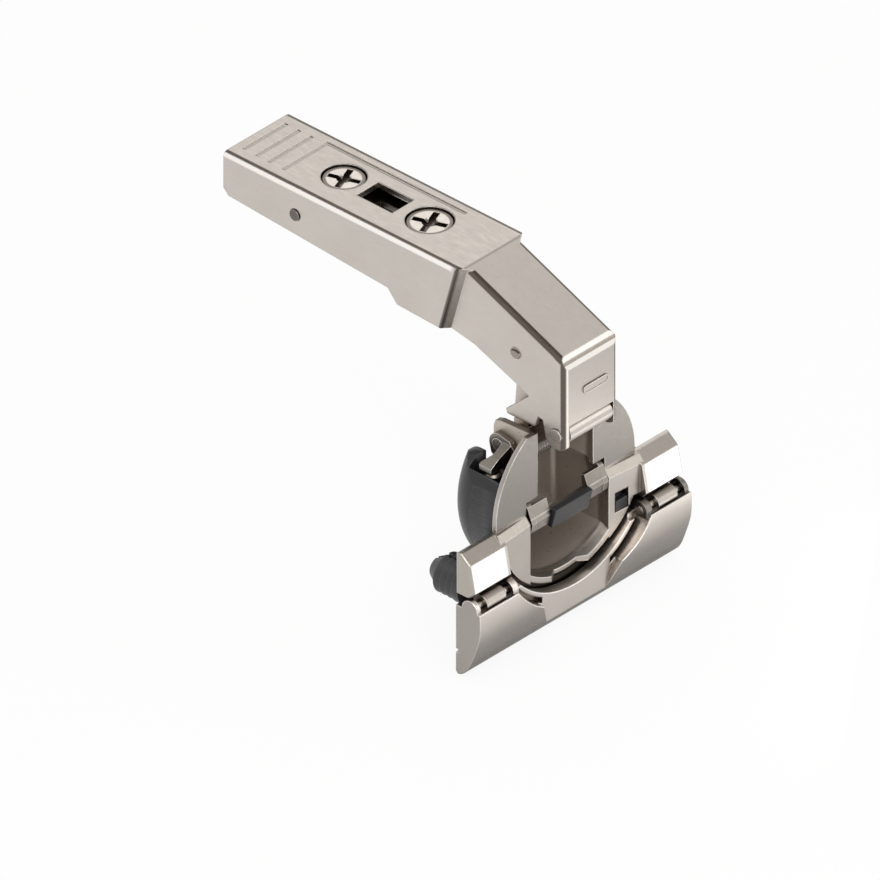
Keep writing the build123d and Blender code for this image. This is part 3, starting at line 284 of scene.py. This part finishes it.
# places of the CAD, in millimetres: cross axes as (x, z), screw heads as (x, radius)
RIVETS = ((-4.5, 28.5), (-54.7, 35.3))
LEVER_PIVOT = (3.2, -11.4)
SCREW_HEADS = ((-30.9, 4.05), (-51.0, 3.75))


def near_axis(t, place, axis, inner, outer):
    """1 close to a cross axis, 0 beyond the outer radius, both radii in millimetres."""
    dx = t.calc("SUBTRACT", place[0], axis[0] * MM)
    dz = t.calc("SUBTRACT", place[2], axis[1] * MM)
    return t.fall(t.length(dx, dz), inner * MM, outer * MM)


def arm_finish(t, colour, normal, place):
    """Painted reflections on the arm's bends: a dark line on each bend's upper side, a highlight
    below it; painted shade on faces, grooves and round rivets.
    """
    top_shade_tone, front_shade_tone = (0.415, 0.38, 0.346), (0.42, 0.385, 0.35)
    groove_shade_tone, brown_shade_tone = (0.22, 0.195, 0.17), (0.22, 0.185, 0.15)
    step_shade_tone, rivet_shade_tone = (0.30, 0.275, 0.25), (0.13, 0.11, 0.09)
    groove_z, brown_z = (0.04060, 0.04076), (0.03038, 0.03096)
    level_end, slope_start = (-0.0185, -0.0175), (-0.0175, -0.0165)
    nose_start, front_start, near_y = (0.004, 0.005), (0.0058, 0.0060), (-0.0078, -0.0074)
    joggle_x, joggle_z, joggle_lean, joggle_half = 0.0207, 0.0271, 0.28, 0.00035
    n_x, n_y, n_z = normal
    x, y, z = place
    near_side = t.times(n_y, -1.0)
    upright = t.fall(t.unsigned(n_z), 0.25, 0.4)
    bend_top = t.rise(n_z, 0.08, 0.2)

    # painted shade: the faces that look up and forward darker, and the grooves pressed in the top
    # darker
    colour = t.mix(t.rise(n_z, 0.955, 0.985, full=0.92), colour, top_shade_tone)
    colour = t.mix(t.rise(n_x, 0.95, 0.985, full=0.6), colour, front_shade_tone)
    groove = t.times(t.band(z, *groove_z, soft=0.00003), t.rise(n_z, 0.6, 0.9, full=0.42))
    colour = t.mix(groove, colour, groove_shade_tone)

    # long bend on the near side: a painted dark reflection line above, a painted highlight below
    # along the level part
    top_line = t.times(t.band(near_side, 0.08, 0.66, soft=0.05), t.rise(n_z, 0.25, 0.45))
    colour = t.mix(t.times(top_line, 0.88), colour, DARK_REFLECTION_LINE)
    sheen = t.times(t.band(near_side, 0.70, 0.985, soft=0.02), bend_top)
    sheen = t.times(sheen, t.fall(x, *level_end))
    colour = t.mix(sheen, colour, HIGHLIGHT_LINE)
    slope_line = t.times(t.band(near_side, 0.08, 0.95, soft=0.04), bend_top)
    slope_line = t.times(slope_line, t.rise(x, *slope_start, full=0.88))
    colour = t.mix(slope_line, colour, DARK_REFLECTION_LINE)

    # upright bend of the nose: a painted dark line on its side, a painted highlight next to its
    # front
    at_nose = t.rise(x, *nose_start)
    nose_line = t.times(t.band(n_x, 0.08, 0.80, soft=0.04), t.times(upright, at_nose))
    colour = t.mix(t.times(nose_line, t.rise(near_side, 0.3, 0.5, full=0.88)), colour, DARK_REFLECTION_LINE)
    nose_sheen = t.times(t.band(n_x, 0.86, 0.975, soft=0.02), upright)
    nose_sheen = t.times(nose_sheen, t.rise(near_side, 0.05, 0.15))
    nose_sheen = t.times(nose_sheen, t.times(at_nose, 0.8))
    colour = t.mix(nose_sheen, colour, HIGHLIGHT_LINE)

    # bends on the far side: a painted dark reflection line
    colour = t.mix(t.times(t.band(n_y, 0.14, 0.985, soft=0.05), 0.85), colour, DARK_REFLECTION_LINE)

    # bend over the nose's front: a painted highlight, with painted brown shade at its foot
    front_sheen = t.times(t.band(n_x, 0.45, 0.98, soft=0.02), t.times(t.rise(n_z, 0.10, 0.2), 0.65))
    on_bend = t.times(t.rise(x, *front_start, full=0.85), t.rise(n_x, 0.4, 0.5))
    brown = t.times(t.band(z, *brown_z, soft=0.00010), on_bend)
    colour = t.mix(front_sheen, colour, HIGHLIGHT_LINE)
    colour = t.mix(brown, colour, brown_shade_tone)

    # joggle: painted shade on the step, with a painted dark line where the wide part ends
    step = t.times(t.band(n_x, 0.5, 0.985, soft=0.03), t.times(upright, 0.2))
    colour = t.mix(t.times(step, t.calc("SUBTRACT", 1.0, at_nose)), colour, step_shade_tone)
    leaning = t.times(t.calc("SUBTRACT", z, joggle_z), joggle_lean)
    from_line = t.calc("SUBTRACT", t.calc("ADD", x, joggle_x), leaning)
    line = t.times(t.band(from_line, -joggle_half, joggle_half, soft=0.00015),
                   t.fall(y, *near_y))
    colour = t.mix(t.times(line, 0.85), colour, DARK_REFLECTION_LINE)

    # painted shade in a ring round each rivet
    for rivet in RIVETS:
        ring = near_axis(t, place, rivet, inner=1.0, outer=1.3)
        colour = t.mix(t.times(ring, 0.55), colour, rivet_shade_tone)
    bright = t.calc("MAXIMUM", sheen, t.calc("MAXIMUM", nose_sheen, front_sheen))
    return colour, t.calc("SUBTRACT", bright, brown)


def lever_finish(t, colour, normal, place):
    """Fixing lever: painted shade darker down its curved front, greyer on its ends, on the hub and
    on the slots' lugs.
    """
    low_shade_tone, end_shade_tone = (0.095, 0.086, 0.076), (0.36, 0.333, 0.305)
    hub_shade_tone, lug_shade_tone = (0.10, 0.09, 0.08), (0.03, 0.025, 0.02)
    hub_y, slot_y = (0.0160, 0.0161), (0.01755, 0.02575)
    n_y, n_z, y = normal[1], normal[2], place[1]
    down_front = t.rise(n_z, 0.10, -0.46)
    colour = t.mix(t.times(down_front, 0.90), colour, low_shade_tone)
    colour = t.mix(t.rise(t.unsigned(n_y), 0.9, 0.96, full=0.85), colour, end_shade_tone)
    hub = t.times(near_axis(t, place, LEVER_PIVOT, inner=2.2, outer=2.5),
                  t.rise(y, *hub_y, full=0.8))
    colour = t.mix(hub, colour, hub_shade_tone)
    slots = t.band(t.unsigned(y), *slot_y, soft=0.00002)
    lugs = t.times(near_axis(t, place, LEVER_PIVOT, inner=2.0, outer=2.3), slots)
    return t.mix(t.times(lugs, 0.9), colour, lug_shade_tone), None


def plate_finish(t, colour, normal, place):
    """Cup plate: painted highlight on the wings, painted shade on the disc, the rolled step and
    the ears' tops, painted brown reflection in the pan.
    """
    wing_highlight_tone, disc_shade_tone, step_shade_tone = (1.0, 0.99, 0.97), (0.25, 0.23, 0.21), (0.33, 0.295, 0.26)
    pan_reflection_tone, deep_shade_tone = (0.55, 0.485, 0.42), (0.20, 0.17, 0.14)
    ear_shade_tone = (0.10, 0.08, 0.065)
    wing_y, wing_x, wing_z = (0.0176, 0.0180), (0.0026, 0.0030), (-0.0095, -0.0090)
    disc_z, disc_x = (-0.0010, -0.0004), (0.0022, 0.0026)
    step_x, pan_x, pan_z = (0.0004, 0.0007), (-0.0012, -0.0003), (-0.001, 0.002)
    ear_z, ear_y = (0.0130, 0.0138), (0.0098, 0.0092)
    n_x, n_z = normal[0], normal[2]
    x, y, z = place
    across = t.unsigned(y)
    facing = t.rise(n_x, 0.90, 0.96)

    # painted highlight on the wings' faces, painted shade on the disc and the rolled step
    wing = t.times(t.rise(across, *wing_y), t.times(facing, t.rise(x, *wing_x)))
    colour = t.mix(t.times(wing, t.rise(z, *wing_z)), colour, wing_highlight_tone)
    disc = t.times(t.rise(z, *disc_z, full=0.92), facing)
    colour = t.mix(t.times(disc, t.fall(x, *disc_x)), colour, disc_shade_tone)
    step = t.times(t.rise(n_z, 0.35, 0.5), t.rise(x, *step_x))
    colour = t.mix(t.times(step, 0.6), colour, step_shade_tone)
    # painted brown reflected light inside the pan, painted shade lower down and on the ears' tops
    inside = t.fall(x, *pan_x)
    colour = t.mix(t.times(inside, 0.8), colour, pan_reflection_tone)
    colour = t.mix(t.times(inside, t.fall(z, *pan_z, full=0.55)), colour, deep_shade_tone)
    ear_top = t.times(t.rise(z, *ear_z), t.rise(n_z, 0.5, 0.8, full=0.85))
    ear_top = t.times(ear_top, t.rise(across, *ear_y))
    return t.mix(ear_top, colour, ear_shade_tone), t.times(inside, 0.6)


def apron_finish(t, colour, normal, place):
    """Strip behind the cup's rim: plain plate at its back, painted deep shade on its front."""
    front_shade_tone = (0.035, 0.03, 0.025)
    return t.mix(t.rise(normal[0], -0.2, 0.4), colour, front_shade_tone), None


def screw_finish(t, colour, normal, place):
    """Screw heads: painted shade in the driver recess and round the rim."""
    recess_shade_tone, rim_shade_tone = (0.085, 0.07, 0.058), (0.10, 0.083, 0.068)
    recess_z = (0.04010, 0.04032)
    rim_inside, rim_outside = 0.62, 0.1
    x, y, z = place
    colour = t.mix(t.fall(z, *recess_z, full=0.8), colour, recess_shade_tone)
    for head_x, radius in SCREW_HEADS:
        away = t.length(t.calc("SUBTRACT", x, head_x * MM), y)
        rim = t.band(away, (radius - rim_inside) * MM, (radius + rim_outside) * MM,
                     soft=0.00012)
        colour = t.mix(t.times(rim, 0.82), colour, rim_shade_tone)
    return colour, None


# ------------------------------------------------------------------ materials
PLATE_TONES = (0.46, 0.423, 0.386), (0.50, 0.462, 0.424)

steel = plated_metal("nickel_steel", (0.56, 0.515, 0.47), (0.60, 0.555, 0.51), (0.88, 0.85, 0.81),
                     grain=LENGTHWISE)
arm_steel = plated_metal("arm_steel", (0.595, 0.549, 0.502), (0.635, 0.588, 0.538),
                         (0.80, 0.76, 0.71), bevel=0.00030, grain=LENGTHWISE, finish=arm_finish)
plate_steel = plated_metal("plate_steel", *PLATE_TONES, (0.96, 0.93, 0.90),
                           bevel=0.00032, finish=plate_finish)
screw_steel = plated_metal("screw_steel", (0.54, 0.50, 0.455), (0.60, 0.555, 0.51),
                           (0.80, 0.77, 0.73), finish=screw_finish)
apron_steel = plated_metal("apron_steel", *PLATE_TONES, (0.80, 0.77, 0.73), finish=apron_finish)
# a dark copy of the plated steel for the rivets' ends: painted shade
shaded_rivet_steel = plated_metal("shaded_rivet_steel", (0.10, 0.09, 0.08), (0.18, 0.163, 0.147),
                           (0.62, 0.59, 0.56))
# a darker copy of the plated steel for the parts inside the arm: painted shade
shaded_inner_steel = plated_metal("shaded_inner_steel", (0.20, 0.18, 0.16), (0.30, 0.275, 0.25),
                           (0.65, 0.62, 0.58))
pins = plated_metal("pin_steel", (0.50, 0.47, 0.44), (0.62, 0.58, 0.54), (0.82, 0.80, 0.77),
                    rough=(0.2, 0.32))
lever_metal = plated_metal("nickel_zinc", (0.64, 0.59, 0.54), (0.70, 0.645, 0.595),
                           (0.98, 0.96, 0.93), rough=(0.28, 0.42), bevel=0.00040,
                           finish=lever_finish)
zinc = plated_metal("zinc", (0.26, 0.235, 0.205), (0.36, 0.33, 0.295), (0.85, 0.83, 0.79),
                    rough=(0.28, 0.42))
shaded = plated_metal("shaded_steel", (0.030, 0.026, 0.022), (0.05, 0.043, 0.037),
                      (0.12, 0.10, 0.09), rough=(0.4, 0.55))
wire = plated_metal("spring_steel", (0.30, 0.29, 0.28), (0.42, 0.40, 0.38), (0.6, 0.58, 0.56),
                    rough=(0.25, 0.4))
dark = moulded_plastic("dark_plastic", (0.015, 0.015, 0.0165), (0.05, 0.05, 0.055),
                       rough=(0.30, 0.42))
dowel = moulded_plastic("dowel_plastic", (0.030, 0.030, 0.033), (0.09, 0.09, 0.10),
                        rough=(0.3, 0.42))
grey = moulded_plastic("grey_plastic", (0.055, 0.055, 0.06), (0.13, 0.13, 0.14))

BY_SLOT = {
    "nickel_steel": steel,
    "pin_steel": pins,
    "nickel_zinc": lever_metal,
    "zinc": zinc,
    "spring_steel": wire,
    "dark_plastic": dark,
    "dowel_plastic": dowel,
    "grey_plastic": grey,
}
BY_NODE = {
    "cup_plate": plate_steel,
    "side_screw": screw_steel,
    "depth_screw": screw_steel,
    "side_frame": shaded_inner_steel,
    "clip_channel": shaded_inner_steel,
    "frame_pin_left": shaded_rivet_steel,
    "frame_pin_right": shaded_rivet_steel,
    "nose_pin_rear": shaded_rivet_steel,
}
for part in frame["record"]["subparts"]:
    name = part["node"]
    materials = nodes[name].data.materials
    materials.clear()
    materials.append(BY_NODE.get(name, BY_SLOT[part["material_slot"]]))


# ------------------------------------------------------------------ meshes
def placed(name, data):
    """A new object in the scene."""
    obj = bpy.data.objects.new(name, data)
    bpy.context.scene.collection.objects.link(obj)
    return obj


def mesh_mm(name, verts, faces):
    """A mesh from points in millimetres."""
    mesh = bpy.data.meshes.new(name)
    mesh.from_pydata([tuple(c * MM for c in v) for v in verts], [], faces)
    return mesh


def dress(mesh, metal, sharp):
    """Give a mesh its one material, and smooth shading up to an angle in degrees."""
    mesh.materials.clear()
    mesh.materials.append(metal)
    mesh.shade_smooth()
    mesh.set_sharp_from_angle(angle=math.radians(sharp))


def skin(rows, closed=False):
    """Faces between each two rows of vertex numbers, every row a loop of the same length."""
    faces = []
    for above, below in zip(rows, rows[1:] + rows[:1] if closed else rows[1:]):
        for k in range(len(above)):
            n = (k + 1) % len(above)
            faces.append(tuple(dict.fromkeys((above[k], above[n], below[n], below[k]))))
    return faces


# ------------------------------------------------------------------ added pieces
def piece(name, verts, faces, metal, body):
    """A mesh object from points in millimetres, riding on a body."""
    mesh = mesh_mm(name, verts, faces)
    dress(mesh, metal, sharp=35)
    obj = placed(name, mesh)
    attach(obj, body)


def capped(name, sections, metal, body):
    """Closed solid through sections of four corners each."""
    verts = [corner for section in sections for corner in section]
    rows = [list(range(4 * i, 4 * i + 4)) for i in range(len(sections))]
    faces = skin(rows) + [tuple(reversed(rows[0])), tuple(rows[-1])]
    piece(name, verts, faces, metal, body)


def ring_sector(name, inner, outer, back, front, half_angle, metal, body, steps=64):
    """Flat band round the cup's axis, centred on the downward direction."""
    sections = []
    for i in range(steps + 1):
        a = math.radians(-90 - half_angle + 2 * half_angle * i / steps)
        corners = (back, inner), (front, inner), (front, outer), (back, outer)
        sections.append([(x, r * math.cos(a), r * math.sin(a)) for x, r in corners])
    capped(name, sections, metal, body)


def slab(name, low, high, metal, body):
    """Thin closed plate between two corners, its rim bevelled by a third of the thickness."""
    bevel = min(h - l for l, h in zip(low, high)) / 3
    (x0, y0, z0), (x1, y1, z1) = low, high
    sections = [[(x, y0 + inset, z0 + inset), (x, y1 - inset, z0 + inset),
                 (x, y1 - inset, z1 - inset), (x, y0 + inset, z1 - inset)]
                for x, inset in ((x0, bevel), (x0 + bevel, 0.0), (x1 - bevel, 0.0), (x1, bevel))]
    capped(name, sections, metal, body)


def loop_bead(name, path, radius, metal, body, sides=10):
    """Round bead along a closed path of points that all have one x."""
    ahead = Vector((1, 0, 0))
    verts, rows = [], []
    for i, (x, y, z) in enumerate(path):
        before, after = path[i - 1], path[(i + 1) % len(path)]
        run = Vector((0, after[1] - before[1], after[2] - before[2])).normalized()
        out = run.cross(ahead)
        rows.append(list(range(len(verts), len(verts) + sides)))
        for k in range(sides):
            a = 2 * math.pi * k / sides
            p = Vector((x, y, z)) + out * (radius * math.cos(a)) + ahead * (radius * math.sin(a))
            verts.append(tuple(p))
    piece(name, verts, skin(rows, closed=True), metal, body)


# strip of the plate that closes the gap between the pan's rim and the fixing lever, its front
# painted dark as shade
ring_sector("plate_apron", inner=17.1, outer=22.3, back=0.15, front=0.75, half_angle=61,
            metal=apron_steel, body="cup")

# pressed outline of the raised slot on the nose: two half rounds and the straights between them
SLOT_X, SLOT_Y, SLOT_Z = 7.14, 1.0, 23.6
SLOT_HALF, SLOT_R, SLOT_STEPS = 2.35, 0.70, 48
BEAD_R = 0.16
outline = []
for i in range(SLOT_STEPS):
    a = 2 * math.pi * i / SLOT_STEPS
    shift = SLOT_HALF if math.cos(a) > 0 else -SLOT_HALF
    outline.append((SLOT_X, SLOT_Y + shift + SLOT_R * math.cos(a), SLOT_Z + SLOT_R * math.sin(a)))
loop_bead("nose_slot_bead", outline, BEAD_R, steel, "arm")

# near-black plate at the side of the slot that the damper switch slides in: painted shade
slab("switch_slot_shade", low=(0.05, 14.5, -10.9), high=(0.35, 16.2, -4.2),
     metal=shaded, body="cup")


# ------------------------------------------------------------------ stand-ins for CAD nodes
def rounder_pot():
    """The pot with the large round of its rear edge."""
    depth, radius, edge = 11.9, 17.4, 6.4
    clear, arc_steps, turns = 1.0, 16, 96
    profile = [(clear, 0.0), (clear, radius + clear),
               (-depth + edge, radius + clear), (-depth + edge, radius)]
    for i in range(1, arc_steps + 1):
        a = math.radians(90 * i / arc_steps)
        profile.append((-depth + edge - edge * math.sin(a), radius - edge + edge * math.cos(a)))
    profile.append((-depth, 0.0))
    verts, rows = [], []
    for x, r in profile:
        start = len(verts)
        if r == 0.0:
            verts.append((x, 0, 0))
            rows.append([start] * turns)
            continue
        for k in range(turns):
            a = 2 * math.pi * k / turns
            verts.append((x, r * math.cos(a), r * math.sin(a)))
        rows.append(list(range(start, start + turns)))
    cutter = placed("pot_form", mesh_mm("pot_form", verts, skin(rows)))
    pot = placed("pot_shell", nodes["cup_pot"].data.copy())
    cut = pot.modifiers.new("round", "BOOLEAN")
    cut.operation = "INTERSECT"
    cut.solver = "EXACT"
    cut.object = cutter
    graph = bpy.context.evaluated_depsgraph_get()
    mesh = bpy.data.meshes.new_from_object(pot.evaluated_get(graph))
    pot.modifiers.clear()
    pot.data = mesh
    bpy.data.objects.remove(cutter)
    dress(mesh, dark, sharp=30)
    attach(pot, "cup")
    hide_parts("cup_pot")


def softer_arm():
    """The arm with the low, round front bend of its nose and its shallow pressed lines."""
    # pressed lines on top, in millimetres: where each one starts, and how far it moves
    lines = ((-67.9, -1.9), (-65.2, -1.6), (-62.5, -1.4), (-59.8, -0.7))
    line_slack, line_width = 0.05, 0.75
    # the rest is in metres: the lines' floor lies between two heights and comes up to a third
    line_half_y, floor_low, floor_high, floor_new = 0.0061, 0.0405, 0.0406, 0.04070
    # the raised slot on the nose comes lower and slimmer
    slot_x, slot_y, slot_half_y = 0.0068, 0.001, 0.0034
    slot_z, slot_half_z, slot_new_z, slot_slim, slot_face = 0.0256, 0.0011, 0.0236, 0.72, 0.00716
    # the nose's top sinks, by nothing at the bend and by the full drop at the front
    bend, front, drop = -0.0165, 0.0070, 0.0018
    sink_z, sink_height = 0.0285, 0.0015

    mesh = nodes["hinge_arm"].data.copy()
    for v in mesh.vertices:
        x, y, z = v.co
        if z > floor_low and abs(y) < line_half_y:
            for start, shift in lines:
                if start - line_slack < x / MM < start + line_width:
                    v.co.x = x + shift * MM
        if floor_low < z < floor_high:
            v.co.z = floor_new
        if x > slot_x and abs(y - slot_y) < slot_half_y and abs(z - slot_z) < slot_half_z:
            v.co.z = slot_new_z + slot_slim * (z - slot_z)
            v.co.x = min(x, slot_face)
        elif x > bend:
            share = min(max((z - sink_z) / sink_height, 0.0), 1.0)
            v.co.z = z - drop * share * min((x - bend) / (front - bend), 1.0)
    if "custom_normal" in mesh.attributes:
        mesh.attributes.remove(mesh.attributes["custom_normal"])
    dress(mesh, arm_steel, sharp=32)
    arm = placed("arm_shell", mesh)
    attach(arm, "arm")
    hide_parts("hinge_arm")


def pressed_leaf():
    """The catch's leaf spring, as its own copy of the mesh, riding on the clip."""
    leaf = placed("catch_leaf", nodes["catch_spring"].data.copy())
    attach(leaf, "clip")
    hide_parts("catch_spring")
    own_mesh(leaf)


rounder_pot()
softer_arm()
pressed_leaf()

# ------------------------------------------------------------------ camera
RIGHT = Vector((0.733, 0.680, 0.0)).normalized()
VIEW = Vector((0.5695, -0.614, 0.5465)).normalized()
UP = VIEW.cross(RIGHT).normalized()
MIDDLE_ACROSS, MIDDLE_UP = -20.87, 7.83     # millimetres in the picture's plane
PICTURE_WIDTH = 0.1512
CAMERA_AWAY = 0.6

cam_data = bpy.data.cameras.new("camera")
cam_data.type = "ORTHO"
cam_data.ortho_scale = PICTURE_WIDTH
cam_data.clip_end = 5.0
camera = placed("camera", cam_data)
middle = RIGHT * (MIDDLE_ACROSS * MM) + UP * (MIDDLE_UP * MM)
turn = Matrix((RIGHT, UP, VIEW)).transposed().to_4x4()
camera.matrix_world = Matrix.Translation(middle + VIEW * CAMERA_AWAY) @ turn
bpy.context.scene.camera = camera

# ------------------------------------------------------------------ floor
# nearly white to the camera, half white in reflections, pale paint in the lamps' light
FLOOR_GAP, FLOOR_HALF = 0.0004, 2
FLOOR_PAINT = (0.80, 0.80, 0.80, 1)
WHITE = (1, 1, 1, 1)
SEEN_WHITE, MIRRORED_WHITE = 0.9, 0.5

floor_z = cad_box[0][2] - FLOOR_GAP
floor_mesh = bpy.data.meshes.new("floor")
floor_mesh.from_pydata([(FLOOR_HALF * x, FLOOR_HALF * y, floor_z)
                        for x, y in ((-1, -1), (1, -1), (1, 1), (-1, 1))], [], [(0, 1, 2, 3)])
floor = placed("floor", floor_mesh)
t = Tree("floor")
path = t.add("ShaderNodeLightPath")
mirrored = t.times(path.outputs["Is Glossy Ray"], MIRRORED_WHITE)
seen = t.calc("MAXIMUM", path.outputs["Is Camera Ray"], path.outputs["Is Transmission Ray"])
white = t.calc("MAXIMUM", mirrored, t.times(seen, SEEN_WHITE))
paint = t.add("ShaderNodeBsdfDiffuse")
paint.inputs["Color"].default_value = FLOOR_PAINT
glow = t.add("ShaderNodeEmission")
glow.inputs["Color"].default_value = WHITE
glow.inputs["Strength"].default_value = 1.0
blend = t.add("ShaderNodeMixShader")
t.link(white, blend.inputs[0])
t.link(paint.outputs[0], blend.inputs[1])
t.link(glow.outputs[0], blend.inputs[2])
t.link(blend.outputs[0], t.out.inputs["Surface"])
floor_mesh.materials.append(t.mat)

# ------------------------------------------------------------------ light
WARM = (1.0, 0.985, 0.97, 1)
SKY_STRENGTH = 0.75

world = bpy.data.worlds.new("world")
bpy.context.scene.world = world
world.use_nodes = True
sky = world.node_tree
sky.nodes.clear()


def backdrop(colour, strength):
    """An even background of one colour."""
    node = sky.nodes.new("ShaderNodeBackground")
    node.inputs["Color"].default_value = colour
    node.inputs["Strength"].default_value = strength
    return node.outputs[0]


# a soft warm light on the part, plain white behind it
sky_out = sky.nodes.new("ShaderNodeOutputWorld")
sky_path = sky.nodes.new("ShaderNodeLightPath")
sky_mix = sky.nodes.new("ShaderNodeMixShader")
sky.links.new(sky_path.outputs["Is Camera Ray"], sky_mix.inputs[0])
sky.links.new(backdrop(WARM, SKY_STRENGTH), sky_mix.inputs[1])
sky.links.new(backdrop(WHITE, 1.0), sky_mix.inputs[2])
sky.links.new(sky_mix.outputs[0], sky_out.inputs["Surface"])


def lamp(name, where, size, power, aim=(-0.02, 0, 0.01)):
    """Area lamp at a point, its width and height in metres, turned to another point."""
    data = bpy.data.lights.new(name, "AREA")
    data.shape = "RECTANGLE"
    data.size, data.size_y = size
    data.energy = power
    obj = placed(name, data)
    at = Vector(where)
    facing = (at - Vector(aim)).to_track_quat("Z", "Y").to_matrix().to_4x4()
    obj.matrix_world = Matrix.Translation(at) @ facing
    return obj


lamp("key", where=(0.35, -0.35, 0.55), size=(0.5, 0.5), power=2.4)
lamp("fill", where=(0.5, 0.4, 0.25), size=(0.5, 0.4), power=0.7)
lamp("back", where=(-0.4, 0.4, 0.5), size=(0.5, 0.3), power=0.5)
card = lamp("card", where=(0.044, 0.031, -0.020), size=(0.075, 0.010), power=0.0030,
            aim=(0.0035, 0.0, -0.0055))
card.visible_camera = False

scene = bpy.context.scene
scene.view_settings.view_transform = "Standard"
